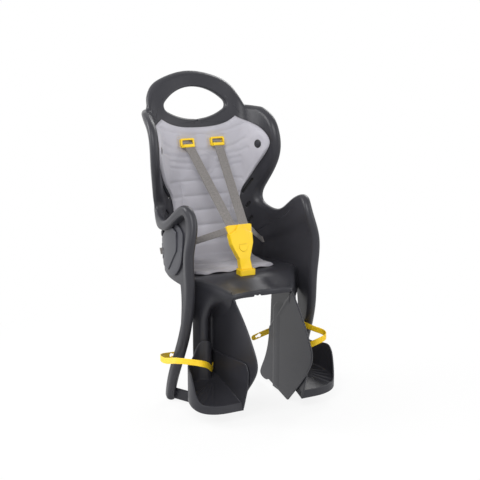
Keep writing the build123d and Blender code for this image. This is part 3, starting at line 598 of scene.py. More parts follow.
shoulder_row = row_where(2, SHOULDER_Z - 1, waist_row)
parts = [lengths(on_wall(p))[-1] for p in pieces]
ends = np.concatenate([[0], np.cumsum(parts)])
KEYS = [(0, 0), (row_where(2, SHELL_BASE, 0), ends[1]), (row_where(2, 115, 0), ends[1] + 0.35 * parts[1]),
        (arm_row, ends[1] + 0.7 * parts[1]), (row_where(1, 60, arm_row), ends[2]),
        (waist_row, up_middle(144)), (row_where(2, 235, waist_row), up_middle(229)),
        (row_where(2, WING_Z, waist_row), up_middle(326)), (row_where(2, 388, waist_row), ends[3]),
        (shoulder_row, ends[4]), (ROWS - 1, ends[5])]
key_rows, key_at = np.array(KEYS).T
line = np.vstack([pieces[0], *[p[1:] for p in pieces[1:]]])
line_at = lengths(on_wall(line))
at = np.interp(np.arange(ROWS), key_rows, key_at)
partner = np.stack([np.interp(at, line_at, line[:, 0]), np.interp(at, line_at, line[:, 1])], -1)
base_row, hole_row = int(key_rows[4]), int(key_rows[8])
print("rows at armrest", arm_row, "waist", waist_row, "hole", hole_row, "shoulder", shoulder_row)

# %% Walking inwards from both edges
RIM_DEPTH, RIM_WIDTH, WALL, ARCH_WALL = 22.0, 24.0, 4.0, 9.0
MID_COLUMNS = 30
STATIONS = np.arange(0, 27, 2.0)
EDGE_REACH, GRIP_REACH = 3.0, 12.0


def smoothed(values, width):
    """Moving average down the rows."""
    window = np.hanning(width + 2)[1:-1]
    padded = np.pad(values, [(width // 2, width // 2)] + [(0, 0)] * (values.ndim - 1), mode="edge")
    kernel = window / window.sum()
    return np.apply_along_axis(np.convolve, 0, padded, kernel, "valid")


def inward(line, towards, width):
    """Unit headings in the wall, square to the line and towards the other edge."""
    points, n = on_wall(line), wall_normal(line[:, 0], line[:, 1])
    run = np.gradient(points, axis=0)
    heading = np.cross(n, run)
    heading *= np.sign((heading * (towards - points)).sum(1))[:, None]
    return unit(smoothed(unit(heading), width))


rows = np.arange(ROWS)
on_grip = step_up((rows - hole_row + 4) / 8)
on_arch = step_up((rows - shoulder_row + 10) / 20)
border_head = inward(border, on_wall(partner), 9)
border_head[-1, 0] = 0.0
partner_head = inward(partner, border_at, 9)
border_w, border_z = march(border[:, 0], border[:, 1], border_head, STATIONS)
REACH = EDGE_REACH + (GRIP_REACH - EDGE_REACH) * on_grip
share = STATIONS / STATIONS[-1]
partner_w, partner_z = [partner[:, 0]], [partner[:, 1]]
for a, b in zip(share[:-1], share[1:]):
    w, z = march(partner_w[-1], partner_z[-1], partner_head, np.array([0.0, 1.0]))
    partner_w.append(partner_w[-1] + (w[:, 1] - partner_w[-1]) * (b - a) * REACH)
    partner_z.append(partner_z[-1] + (z[:, 1] - partner_z[-1]) * (b - a) * REACH)
partner_w, partner_z = np.stack(partner_w, 1), np.stack(partner_z, 1)
blend = np.linspace(0, 1, MID_COLUMNS + 2)[1:-1]
mid_w = partner_w[:, -1:] * (1 - blend) + border_w[:, -1:] * blend
mid_z = partner_z[:, -1:] * (1 - blend) + border_z[:, -1:] * blend
print("walked", border_w.shape, mid_w.shape, partner_w.shape)


# %% Carrying the profile
def at_station(w, z, t):
    """Points and normals of walked lines at distances t, given as stations from 0 to 13."""
    i = np.clip(t.astype(int), 0, w.shape[1] - 2)
    f = t - i
    a = w[:, i] * (1 - f) + w[:, i + 1] * f
    b = z[:, i] * (1 - f) + z[:, i + 1] * f
    return read(TABLE, a, b), wall_normal(a, b)


def thickened(p, n, way, thick, share):
    """Points moved out by a share of the thickness: the border's depth where thick is 1, the wall's where 0.

    The border's depth is gained along `way`, which may lean away from the normal n.
    """
    depth = RIM_DEPTH / np.clip((way * n).sum(-1, keepdims=True), LEAST_LEAN, 1)
    return p + (way * depth * thick + n * WALL * (1 - thick)) * np.asarray(share)[..., None]


SIDE_WAY, REAR_WAY, LEAST_LEAN = np.array([1.0, 0, 0]), np.array([0, 1.0, 0]), 0.78
NOSE, EDGE_NOSE = 5.5, 6.5
border_way = unit(SIDE_WAY * (1 - on_arch[:, None]) + REAR_WAY * on_arch[:, None])
turn = np.linspace(0, math.pi, 13)[1:-1]
band = np.array([13, 12.6, 12, 11.4, 10.8, 10, 9, 7.5, 6.2, NOSE])
edge = np.array([EDGE_NOSE, 8, 9.5, 11.2, 13])
rim = smoothed(np.where(on_arch > 0.5, ARCH_WALL, RIM_WIDTH), 25)


def border_points(t, share):
    """Border between inside (share 0) and outside (share 1) at stations t."""
    p, n = at_station(border_w, border_z, t)
    thick = step_up((rim[:, None] + 2 - 2 * t) / 4)[..., None]
    return thickened(p, n, border_way[:, None], thick, share)


def partner_points(t, share):
    """The inner edge likewise; only the grip hole's edge is as deep as the border."""
    p, n = at_station(partner_w, partner_z, t)
    gap = t / STATIONS[-1] * 2 * REACH[:, None]
    thick = (step_up((ARCH_WALL + 2 - gap) / 4) * on_grip[:, None])[..., None]
    return thickened(p, n, REAR_WAY, thick, share)


mid = read(TABLE, mid_w, mid_z)
mid_out = mid + wall_normal(mid_w, mid_z) * WALL
section = np.concatenate([
    partner_points(edge, 0), mid, border_points(band, 0),
    border_points(NOSE * (1 - np.sin(turn)), (1 - np.cos(turn)) / 2),
    border_points(band[::-1], 1), mid_out[:, ::-1], partner_points(edge[::-1], 1),
    partner_points(EDGE_NOSE * (1 - np.sin(turn)), (1 + np.cos(turn)) / 2)], 1)
COLUMNS = section.shape[1]
print("profile of", COLUMNS, "points on", ROWS, "stations")

# %% Wall mesh
FOOT_DROP = 1.5
inner = len(edge) + MID_COLUMNS + len(band)
pair = np.arange(inner)[::-1] + inner + len(turn)
last = COLUMNS - len(turn) - 1
section[base_row:hole_row, [0, last], 0] = 0.0
cap = section[0].copy()
closed = (section[0, :inner] + section[0, pair]) / 2
cap[:inner], cap[pair] = closed, closed
cap[inner:inner + len(turn)] = closed[-1]
cap[-len(turn):] = closed[0]
cap[:, 2] -= FOOT_DROP
section[-1, :, 0] = 0.0
right_half = np.concatenate([cap[None], section])
whole = np.concatenate([right_half, right_half[::-1][1:] * sided(-1)])
faces = grid_faces(len(whole), COLUMNS, wrap_columns=True).reshape(len(whole) - 1, COLUMNS, 4)
keep = np.ones(faces.shape[:2], bool)
spine = np.zeros(len(whole) - 1, bool)
spine[base_row + 1:hole_row + 1] = True
spine |= spine[::-1]
keep[spine, last:] = False
shell_wall = put("shell_wall", whole, faces[keep], CHARCOAL, slot="shell")
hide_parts("seat_shell")

# %% [markdown]
# ## Pan, leg channels and guard panels
# Below the pad the moulding turns from the pan over a soft roll straight down into the channels
# behind the child's legs, so pan, roll and channel are one flowing surface here: a line is carried
# along the pan's free edge, and each station runs from the bucket's wall over the pan, round the
# roll and down. Between the legs the line ends early, as the turned-down lip.

# %% Pan outline and height
LIP_FRONT, LIP_BOTTOM, LIP_HALF, LIP_SWEEP = -108.0, 12.0, 73.0, 8.0
PAN_CREST, PAN_SEAT, CREST_Y = 44.0, 36.0, -35.0
RIDGE_X, RIDGE_Y, PAN_WALL, GUARD_TIP = 122.0, -62.0, 4.0, -258.0
DISH_X, DISH_Y, DISH_WIDE, DISH_LONG, DISH_DEEP = 48.0, -78.0, 22.0, 24.0, 6.0
SWELL_Y, SWELL_WIDE, SWELL_LONG, SWELL_HIGH = -58.0, 30.0, 16.0, 2.0
JOIN_Z, JOIN_Y, JOIN_OUT, REAR_Y, REAR_OUT = 30.0, -14.0, 4.0, 16.0, 2.0
LIP_ROWS, THIGH_ROWS = 50, 120
pan_side = curve([(LIP_FRONT - 150, LIP_TOP - 14), (LIP_FRONT, LIP_TOP), (CREST_Y, PAN_CREST),
                  (CREST_Y + 75, PAN_SEAT + 2), (CREST_Y + 145, PAN_SEAT),
                  (BACK_FOOT + 60, PAN_SEAT + 16)], 400)


def pan_height(x, y):
    """Top of the pan: its side view curve, less two dishes for the thighs, plus a swell by the buckle."""
    z = np.interp(y, pan_side[:, 0], pan_side[:, 1])
    dish = np.exp(-((np.abs(x) - DISH_X) / DISH_WIDE) ** 2 - ((y - DISH_Y) / DISH_LONG) ** 2)
    swell = np.exp(-(x / SWELL_WIDE) ** 2 - ((y - SWELL_Y) / SWELL_LONG) ** 2)
    return z - DISH_DEEP * dish + SWELL_HIGH * swell


corner = (LIP_HALF, LIP_FRONT - LIP_SWEEP)
lip = curve([(0, LIP_FRONT), (0.5 * LIP_HALF, LIP_FRONT - 0.5), (0.85 * LIP_HALF, LIP_FRONT - 3), corner],
            LIP_ROWS)
join_z = np.array([JOIN_Z])
wall_end = read(TABLE, across_at(join_z, np.array([JOIN_Y]), 1), join_z)[0] + np.array([JOIN_OUT, 0, 0])
thigh = curve([corner, (RIDGE_X - 26, RIDGE_Y - 26), (RIDGE_X - 2, RIDGE_Y + 12), wall_end[:2]], THIGH_ROWS)
edge_line = np.vstack([lip, thigh[1:]])
edge_line[1:-1] = smoothed(edge_line, 9)[1:-1]
edge_line[0, 0] = 0.0
PAN_ROWS = len(edge_line)
wall_w = across_at(np.array([PAN_SEAT]), np.array([REAR_Y]), 1)[0]
rear_w = np.interp(np.linspace(0, 1, PAN_ROWS), [0, LIP_ROWS / PAN_ROWS, 1], [0, 0.45 * wall_w, wall_w])
rear_z = np.full(PAN_ROWS, PAN_SEAT)
rear_line = (read(TABLE, rear_w, rear_z) + REAR_OUT * wall_normal(rear_w, rear_z))[:, :2]
rear_line[0, 0] = 0.0
print("pan edge", edge_line[[0, LIP_ROWS, -1]].round(1).tolist(),
      "pan at", rear_line[[0, -1]].round(1).tolist())

# %% Over the pan and round the roll
run = np.gradient(edge_line, axis=0)
inside = unit(smoothed(unit(np.stack([-run[:, 1], run[:, 0]], -1)), 25))
inside[0] = (0, 1)
past_lip = np.clip((np.arange(PAN_ROWS) - LIP_ROWS + 4) / 30, 0, 1)
LIP_ROLL, THIGH_ROLL = 6.0, 15.0
roll_r = LIP_ROLL + (THIGH_ROLL - LIP_ROLL) * step_up(past_lip)
roll = np.linspace(0, math.pi / 2, 10)
shelf_start = edge_line + inside * roll_r[:, None]
shelf_share = np.linspace(1, 0, 36) ** 1.2
shelf = shelf_start[:, None] + (rear_line - shelf_start)[:, None] * shelf_share[:, None]
shelf_z = pan_height(shelf[..., 0], shelf[..., 1])
brink = edge_line[:, None] + inside[:, None] * (roll_r[:, None] * (1 - np.sin(roll)))[..., None]
brink_z = shelf_z[:, -1:] - roll_r[:, None] * (1 - np.cos(roll))
top = np.concatenate([raised(shelf, shelf_z), raised(brink, brink_z)[:, 1:]], 1)
print("pan top", top.shape)


# %% Down the lip and the channel
PANEL_X, PANEL_TOE = 76.0, math.tan(math.radians(3))


def panel_x(y):
    """Half-distance between the guard panels, which toe in towards the front."""
    return PANEL_X + (y + 100) * PANEL_TOE


CHANNEL = [(panel_x(-100) + 1.2, -100), (panel_x(-6) + 1.2, -6), (RIDGE_X, RIDGE_Y - 14),
           (RIDGE_X + 12, RIDGE_Y + 40)]
channel = rounded(CHANNEL, [6, 12], 600)
along = lengths(channel) / lengths(channel)[-1]
corner_at = along[np.argmax(channel[:300, 1])]
ridge_at = along[200 + np.argmin(channel[200:, 1])]
T = np.linspace(0, 1, THIGH_ROWS)
wall_share = np.interp(T, [0, 0.12, 0.22, 0.47, 0.62, 1],
                       [0, 0.5 * corner_at, corner_at, ridge_at, ridge_at + 0.1, 1])
foot = np.stack([np.interp(wall_share, along, c) for c in channel.T], -1)
SCOOP = np.linspace(0, 1, 30)[1:]
SCOOP_LOW, GUARD_LOW = -52.0, -249.0
roll_end = top[LIP_ROWS - 1:, -1]
late = 1 + 2.2 * step_up((T - 0.72) / 0.28)
fall = (step_up(SCOOP) * 0.75 + 0.25 * SCOOP) ** late[:, None]
scoop_xy = roll_end[:, None, :2] + (foot - roll_end[:, :2])[:, None] * fall[..., None]
scoop_z = roll_end[:, 2:] + (SCOOP_LOW - roll_end[:, 2:]) * SCOOP
drop_z = np.linspace(SCOOP_LOW, GUARD_LOW, 26)[1:]
drop = raised(np.repeat(foot[:, None], len(drop_z), 1), drop_z)
thigh_face = np.concatenate([top[LIP_ROWS - 1:], raised(scoop_xy, scoop_z), drop], 1)
print("channel", thigh_face.shape, "corner", round(corner_at, 2), "ridge", round(ridge_at, 2))
NOTCH_X, NOTCH_HALF, NOTCH_RISE, TOOTH_HALF, TOOTH_LONG, SKIRT_ROWS = -10.0, 9.0, 3.5, 2.5, 1.8, 5
lip_all = np.concatenate([top[:LIP_ROWS][:0:-1] * sided(-1), top[:LIP_ROWS]])
aside = np.abs(lip_all[:, -1, 0] - NOTCH_X)
tooth = NOTCH_RISE * (aside < NOTCH_HALF) - TOOTH_LONG * (aside < TOOTH_HALF)
down = np.linspace(0, 1, SKIRT_ROWS + 1)[1:]
skirt_z = lip_all[:, -1:, 2] + (LIP_BOTTOM + tooth[:, None] - lip_all[:, -1:, 2]) * down
lip_face = np.concatenate([lip_all, raised(np.repeat(lip_all[:, -1:, :2], SKIRT_ROWS, 1), skirt_z)], 1)


# %% Thick sheets
def behind(grid):
    """Unit normals of a grid, square to its two running directions."""
    n = np.cross(np.gradient(grid, axis=0), np.gradient(grid, axis=1))
    return n / np.maximum(np.linalg.norm(n, axis=-1, keepdims=True), 1e-9)


def thick_sheet(grid, normal, depth, shared=0):
    """Closed plate: the grid, the same points depth along the normals, and a strip that joins them.

    The strip leaves out the first `shared` columns of the first and last row, where a neighbour joins.
    """
    rows, columns = grid.shape[:2]
    points = np.concatenate([grid.reshape(-1, 3), (grid + normal * depth).reshape(-1, 3)])
    face = grid_faces(rows, columns)
    i = np.arange(rows * columns).reshape(rows, columns)
    first = max(shared - 1, 0)
    runs = [i[0, first:], i[:, -1], i[-1, ::-1][:columns - first], i[::-1, 0]]
    strip = np.concatenate([np.stack([r[:-1], r[1:]], -1) for r in runs])
    side = np.concatenate([strip, strip[:, ::-1] + rows * columns], 1)
    return points, np.concatenate([face, face[:, ::-1] + rows * columns, side])


def joined(*sheets):
    """Several (points, faces) as one."""
    starts = np.cumsum([0] + [len(p) for p, _ in sheets])
    faces = [f + start for (_, f), start in zip(sheets, starts)]
    return np.concatenate([p for p, _ in sheets]), np.concatenate(faces)


TOP_COLUMNS = top.shape[1]
top_normal = behind(top)
thigh_normal = behind(thigh_face)
thigh_normal[:, :TOP_COLUMNS - 1] = top_normal[LIP_ROWS - 1:, :-1]
lip_normal = behind(lip_face)
half_normal = top_normal[:LIP_ROWS, :-1]
lip_normal[:, :TOP_COLUMNS - 1] = np.concatenate([half_normal[:0:-1] * sided(-1), half_normal])
thigh_normal[0, TOP_COLUMNS - 1] = lip_normal[-1, TOP_COLUMNS - 1]
near_panel = 1 - step_up((np.arange(THIGH_ROWS) - 6) / 14)
low_down = step_up((np.arange(thigh_face.shape[1]) - TOP_COLUMNS) / 12)
THINNED = 2.2
sheet_depth = PAN_WALL - THINNED * near_panel[:, None] * low_down
left_points, left_faces = thick_sheet(thigh_face, thigh_normal, sheet_depth[..., None])
lip_points, lip_faces = thick_sheet(lip_face, lip_normal, PAN_WALL, shared=TOP_COLUMNS)


def drop_start_strip(faces, grid, shared):
    """Faces without the joining strip along the shared columns of a sheet's first row."""
    place = faces % (grid.shape[0] * grid.shape[1])
    return faces[(place >= shared).any(1)]


left_faces = drop_start_strip(left_faces, thigh_face, TOP_COLUMNS)
pan_points, pan_faces = joined((lip_points, lip_faces), (left_points, left_faces),
                               (left_points * sided(-1), left_faces[:, ::-1]))
put("shell_pan", pan_points, pan_faces, CHARCOAL, slot="shell")


# %% Guard panels
def plate(name, outline, spine, place, thick, paint=CHARCOAL, columns=14, dent=None, **more):
    """Flat plate: each outline point runs to its nearest point of the spine; edges are half round."""
    a, b = np.asarray(spine, float)
    t = np.clip(((outline - a) @ (b - a)) / ((b - a) @ (b - a)), 0, 1)
    centre = a + t[:, None] * (b - a)
    gone = np.linspace(0, 1, columns) ** 1.3
    away = np.linalg.norm(centre - outline, axis=1)
    turn = np.linspace(0, math.pi, 7)
    inset = thick / 2 * (1 - np.sin(turn)) / away[:, None]
    reach = thick / 2 / away[:, None] + (1 - thick / 2 / away[:, None]) * gone[1:]
    share = np.concatenate([reach[:, ::-1], inset, reach], 1)
    level = np.concatenate([np.full(columns - 1, -1.0), -np.cos(turn), np.full(columns - 1, 1.0)]) * thick / 2
    flat = outline[:, None] + (centre - outline)[:, None] * share[..., None]
    bend = np.broadcast_to(level, flat.shape[:2])
    if dent is not None:
        bend = bend + np.where(bend < 0, dent(flat[..., 0], flat[..., 1]), 0)
    points = place(flat[..., 0], flat[..., 1], bend)
    return put(name, points, grid_faces(*points.shape[:2], wrap_rows=True), paint, **more)


panel_front = curve([(corner[1] - 2, LIP_BOTTOM + 4), (-169, -33), (-205, -78), (-221, -112), (-206, -148),
                     (-172, -190)], 80)
panel_tip = rounded([(-172, -190), (-102, GUARD_TIP - 0.8), (4, -241)], [9], 60)
panel_rear = curve([(4, -241), (30, -248), (50, -240), (43, -221), (25, -192), (9, -155), (-1, -93),
                    (-6, -20)], 90)
top_y = np.linspace(-6, corner[1] + 2, 30)
top_z = pan_height(np.full(30, PANEL_X), top_y) - 3 - 12 * step_up((-72 - top_y) / 24)
panel_top = np.stack([top_y, top_z], -1)
panel_line = closed_line([panel_front, panel_tip[1:], panel_rear[1:], panel_top[1:-1]], 420)
CREASE = np.array([(-116.0, 10.0), (-8.0, -98.0)])
STEP_DEEP, STEP_WIDE, BEAD_HIGH, BEAD_WIDE = 2.4, 3.0, 0.9, 3.5


def panel_step(y, z):
    """Moulded step: the rear top corner lies deeper than the rest, across a slanting line with a bead."""
    run = unit(CREASE[1] - CREASE[0])
    above = (y - CREASE[0, 0]) * -run[1] + (z - CREASE[0, 1]) * run[0]
    bead = np.exp(-((above + STEP_WIDE) / BEAD_WIDE) ** 2)
    return STEP_DEEP * step_up(above / STEP_WIDE) - BEAD_HIGH * bead


def beside_panel(side, gap=0.0):
    """Placer for side views (y, z) along a guard's panel, further out by gap."""
    return lambda y, z, n: np.stack([side * (panel_x(y) + gap + n), y, z], -1)


for name, side in SIDES:
    plate(f"guard_panel_{name}", panel_line, [(-90, -10), (-85, -190)], beside_panel(side), PAN_WALL,
          columns=26, slot="shell", dent=panel_step)

# %% [markdown]
# ## Harness and foot straps
# Webbing is flat and keeps its width, so a strap is one flat profile carried along its own line,
# with UVs that run along it for the weave. The shoulder straps come through the guides and turn
# slowly until they lie flat in the buckle. The foot straps hang open on their studs, with a
# keyhole cut near the free end.


# %% Ribbon and cutting tools
def ribbon(name, line, across, width, thick, paint, round_end=False, **more):
    """Flat strap: a flat profile with soft edges at each point of the line, its width along `across`."""
    run = unit(np.gradient(line, axis=0))
    flat = unit(across - (across * run).sum(1, keepdims=True) * run)
    face = np.cross(run, flat)
    s = lengths(line)
    half = np.full(len(line), width / 2)
    if round_end:
        left = np.minimum(s[-1] - s, width / 2)
        half = np.sqrt(np.maximum(width ** 2 / 4 - (width / 2 - left) ** 2, 0.04))
    place = np.array([-1, -0.97, -0.85, -0.5, 0, 0.5, 0.85, 0.97])
    rise = np.array([0, 0.7, 1, 0.9, 0.9, 0.9, 1, 0.7]) * thick / 2
    place, rise = np.concatenate([place, -place]), np.concatenate([rise, -rise])
    grid = line[:, None] + flat[:, None] * (half[:, None] * place)[..., None] + face[:, None] * rise[:, None]
    ends = line[[0, -1], None] + flat[[0, -1], None] * (half[[0, -1], None] * place)[..., None]
    grid = np.concatenate([ends[:1] - run[0] * 0.2, grid, ends[1:] + run[-1] * 0.2])
    along = np.concatenate([[0], s, s[-1:]]) / width
    uv = np.stack(np.broadcast_arrays(along[:, None], (place + 1) / 2), -1)
    return put(name, grid, grid_faces(*grid.shape[:2], wrap_columns=True), paint, uv=uv, **more)


def cut(piece, cutters):
    """Takes the cutters' volumes out of the piece and leaves a plain mesh."""
    for cutter in cutters:
        knife = piece.modifiers.new("knife", "BOOLEAN")
        knife.object, knife.operation, knife.solver = cutter, "DIFFERENCE", "EXACT"
    shaped = piece.evaluated_get(bpy.context.evaluated_depsgraph_get())
    mesh = bpy.data.meshes.new_from_object(shaped)
    piece.modifiers.clear()
    piece.data = mesh
    for cutter in cutters:
        bpy.data.objects.remove(cutter)
    print(piece.name, "cut to", len(mesh.polygons), "faces")


def prism(name, outline, origin, right, up, deep):
    """Cutter: a flat outline in (right, up) carried to both sides of its plane by `deep`."""
    right, up = unit(np.asarray(right, float)), unit(np.asarray(up, float))
    flat = np.asarray(origin) + outline[:, :1] * right + outline[:, 1:] * up
    out = np.cross(right, up) * deep
    n = len(outline)
    around = grid_faces(n, 2, wrap_rows=True).tolist()
    lids = [list(range(0, 2 * n, 2)), list(range(1, 2 * n, 2))[::-1]]
    mesh = bpy.data.meshes.new(name)
    mesh.from_pydata((np.stack([flat - out, flat + out], 1).reshape(-1, 3) * MM).tolist(), [], around + lids)
    settle(mesh)
    return add(name, mesh)


# %% Places on the back, the buckle and the guard
GUIDE_X, GUIDE_Z, WEBBING, WEBBING_THICK, LAP_WIDTH = 41.0, 325.0, 25.0, 1.6, 16.0
BUCKLE_AT, BUCKLE_LEAN = np.array([0, -30.0, 50.0]), math.radians(20.4)
BUCKLE_UP = np.array([0, math.sin(BUCKLE_LEAN), math.cos(BUCKLE_LEAN)])
BUCKLE_FACE = np.array([0, -math.cos(BUCKLE_LEAN), math.sin(BUCKLE_LEAN)])


def on_buckle(x, y, z):
    """Point given in the buckle's own plane: right, up along it, out of it."""
    return BUCKLE_AT + np.array([x, 0, 0]) + BUCKLE_UP * y + BUCKLE_FACE * z


def on_back(side, x, z):
    """Point of the bucket's back at (x, z) and the way out of it towards the child."""
    w = across_at(np.array([z]), np.array([x]), 0)
    return read(TABLE, w, np.array([z]))[0] * sided(side), -wall_normal(w, np.array([z]))[0] * sided(side)


def back_frame(side, x, z):
    """Frame on the bucket's back: the spot, across, up along it, and out towards the child."""
    spot, out = on_back(side, x, z)
    rise = unit(np.array([0, 0, 1.0]) - out * out[2])
    return spot, np.cross(rise, out), rise, out


def wall_frame(side, at, z, run):
    """Frame on an upright wall given in plan: the spot, along it, up, and out of it."""
    return np.array([(*at, z), (*run, 0), (0, 0, 1), (run[1], -run[0], 0)]) * sided(side)


def set_on(frame, lift=0.0):
    """Placer on a frame: p along it, q up, and the plate's own thickness out, from a lift."""
    spot, run, rise, out = frame
    return lambda p, q, n: (spot + run * p[..., None] + rise * q[..., None]
                            + out * (n + lift)[..., None])


def turned(line, first, last, start):
    """Width directions from `first` to square with `last`, turning after the line has run to `start`."""
    run = unit(np.gradient(line, axis=0))
    goal = np.cross(run[-1], last)
    goal = goal * np.sign(goal @ first)
    share = step_up((lengths(line) / lengths(line)[-1] - start) / (1 - start))[:, None]
    return unit(first * (1 - share) + unit(goal) * share)


# %% Shoulder and lap straps
LAP_HOLE, LAP_OUT, STRAP_BEND, TUCK = np.array([127.0, 128, 82]), np.array([23.0, 0, 0]), 6.0, 12.0
for name, side in SIDES:
    spot, out = on_back(side, GUIDE_X, GUIDE_Z)
    shoulder_way = [spot - out * TUCK, spot + out * TUCK, on_buckle(side * 16, 106, -2.4)]
    lap_way = [(LAP_HOLE + LAP_OUT) * sided(side), LAP_HOLE * sided(side), on_buckle(side * 30, 101, -2.4)]
    for kind, points, width, start in (
            ("shoulder", shoulder_way, WEBBING, 0.25), ("lap", lap_way, LAP_WIDTH, 0.3)):
        line = rounded(points, [STRAP_BEND], 140)
        across = unit(np.cross(points[1] - points[0], points[2] - points[1]))
        strap = ribbon(f"{kind}_webbing_{name}", line, turned(line, across, BUCKLE_FACE, start), width,
                       WEBBING_THICK, WEBBING_GREY, slot="webbing")
        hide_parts(f"{kind}_strap_{name}")

# %% Foot straps
STRAP_WIDTH, STRAP_THICK, STUD_Z, STUD_R, FOOT_LIFT = 14.0, 2.0, -163.0, 2.6, 7.3
SLOPE_REAR, SLOPE_FRONT = np.array([panel_x(-8), -8.0]), np.array([106.5, -50.4])
slope_run = unit(SLOPE_FRONT - SLOPE_REAR)
slope_out = np.array([slope_run[1], -slope_run[0]])
stud_at = SLOPE_REAR + (SLOPE_FRONT - SLOPE_REAR) * 0.75
LEFT_WAY = [(128, -108, -128), (150, -124, -113), (166, -122, -106), (169, -108, -102), (157, -91, -97),
            (143, -60, -92), (144, -14, -102), (114, 34, -126), (60, 55, -150)]
RIGHT_WAY = [(135, -112, -135), (176, -141, -111), (202, -118, -110), (206, -60, -127), (204, -8, -142),
             (193, 30, -148), (165, 50, -155), (138, 60, -159)]
HOLE_R, SLIT_HALF, SLIT_END, HOLE_AT = 4.8, 3.0, 9.6, 0.945
opening = math.asin(SLIT_HALF / HOLE_R)
bore = np.linspace(opening, 2 * math.pi - opening, 28)
KEYHOLE = np.concatenate([HOLE_R * np.stack([np.cos(bore), np.sin(bore)], -1),
                          [(SLIT_END, -SLIT_HALF), (SLIT_END, SLIT_HALF)]])
for (name, side), way in zip(SIDES, (LEFT_WAY, RIGHT_WAY)):
    held = [(*(stud_at + slope_run * v + slope_out * FOOT_LIFT), STUD_Z) for v in (-8, 0, 8)]
    line = curve(np.array(held + way) * sided(side), 220)
    strap = ribbon(f"foot_band_{name}", line, np.broadcast_to([0, 0, 1.0], line.shape), STRAP_WIDTH,
                   STRAP_THICK, YELLOW_SOFT, round_end=True, body=f"footrest_{name}", slot="yellow_soft")
    row = int(HOLE_AT * len(line))
    run = unit(line[row + 1] - line[row - 1])
    upright = unit(np.array([0, 0, 1.0]) - run * run[2])
    cut(strap, [prism("keyhole", KEYHOLE, line[row], run, upright, 5.0)])
    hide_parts(f"foot_strap_{name}")

# %% [markdown]
# ## The quilted pad
# The real pad is one thin quilted piece that lies on the back and the seat. It starts as two even
# sheets, one on the bucket and one over it, joined at the border. The back sheet, the border and
# the sewn lines are pinned, and a short cloth simulation with air pressure blows up the rest, so
# every quilt swells between its own seams as stuffed fabric does.

# %% Sheet on back and seat
PAD_GAP, PAD_FRONT, PAD_HALF, PAD_FULL = 0.4, 12.0, 105.0, 7.2
SNAP_X, SNAP_Z = 137.0, 320.0
PAD_COLUMNS, SEAT_ROWS, BACK_ROWS = 71, 44, 104
U = np.linspace(-1, 1, PAD_COLUMNS)
ACROSS_MM = 400
SIDE_EDGE = [(0.262, 42), (0.245, 80), (0.208, 126), (0.212, 164), (0.245, 206), (0.30, 232), (0.367, 266),
             (0.453, 304), (0.49, 334), (0.465, 356), (0.39, 372), (0.285, 386)]
side_edge = curve(np.array(SIDE_EDGE) * [ACROSS_MM, 1], BACK_ROWS)
centre_z = np.linspace(42, 362, BACK_ROWS)
pad_w = np.abs(U) * side_edge[:, :1] / ACROSS_MM
pad_z = centre_z[:, None] + (side_edge[:, 1] - centre_z)[:, None] * np.abs(U) ** 2.6
hand = np.stack([np.sign(U), np.ones(PAD_COLUMNS), np.ones(PAD_COLUMNS)], -1)
back_sheet = read(TABLE, pad_w, pad_z) * hand
back_out = -wall_normal(pad_w, pad_z) * hand
front_edge = PAD_FRONT + 14 * np.maximum(np.abs(U) - 0.8, 0) ** 2 / 0.04
front_edge = front_edge + 2.2 * np.sin(U * 9 + 0.6) + 1.5 * np.sin(U * 21 + 2)
run_back = np.linspace(0, 1, SEAT_ROWS)
seat_x = U * (PAD_HALF + (back_sheet[0, -1, 0] - PAD_HALF) * run_back[:, None])
seat_y = front_edge + (back_sheet[0, :, 1] - 6 - front_edge) * run_back[:, None]
ruffle = (1.6 + 1.6 * np.sin(U * 12 + 1)) * np.exp(-(run_back[:, None] * 150 / 9) ** 2)
seat_sheet = np.stack([seat_x, seat_y, pan_height(seat_x, seat_y) + ruffle], -1)
sheet = np.concatenate([seat_sheet, back_sheet])
fold = np.exp(-((np.arange(len(sheet)) - SEAT_ROWS) / 6.0) ** 2)[:, None, None]
sheet = sheet * (1 - fold) + smoothed(sheet, 13) * fold
pad_out = behind(sheet)
pad_out *= np.sign((pad_out[-1, PAD_COLUMNS // 2] * back_out[-1, PAD_COLUMNS // 2]).sum())
print("pad sheet", sheet.shape, "middle from and to", sheet[[0, -1], PAD_COLUMNS // 2].round(1).tolist())


# %% Sewn lines
FAR = 99.0
RING_Z, RING_OUT, RING_IN = 272.0, 31.0, 21.0


def line_gap(z, at, where=True):
    """Distance from a level line of stitching, or far where it isn't sewn."""
    return np.where(where, np.abs(z - at), FAR)


x, y, z = np.moveaxis(sheet, -1, 0)
on_seat = (np.arange(len(sheet)) < SEAT_ROWS - 3)[:, None]
aside = np.abs(x)
ring = np.hypot(x, 1.05 * (z - RING_Z))
gaps = [line_gap(z - 0.0016 * x * x, 343.0), np.abs(ring - RING_OUT), np.abs(ring - RING_IN)]
gaps += [line_gap(z - 0.0012 * x * x, level, (ring > RING_OUT) & (aside < 100))
         for level in (306, 289, 274, 259)]
gaps += [line_gap(z, level, aside < 103) for level in (233, 196, 160, 122, 86)]
gaps += [line_gap(aside, 64 + 0.0035 * np.maximum(z - 190, 0) ** 2, (z > 122) & (z < 233))]
gaps += [line_gap(z - 0.5 * (aside - 92), level, (aside > 88) & (aside < 122)) for level in (296, 318)]
gaps = [np.where(on_seat, FAR, g) for g in gaps]
gaps += [line_gap(y - 0.0012 * x * x, level, on_seat) for level in (58, 104)]
seam = np.min(gaps, axis=0)
pace = np.linalg.norm(np.diff(sheet, axis=1), axis=-1)
from_left = np.concatenate([np.zeros((len(sheet), 1)), np.cumsum(pace, 1)], 1)
to_side = np.minimum(from_left, from_left[:, -1:] - from_left)
rows_mm = lengths(sheet[:, PAD_COLUMNS // 2])
border_gap = np.minimum(to_side, np.minimum(rows_mm, rows_mm[-1] - rows_mm)[:, None])
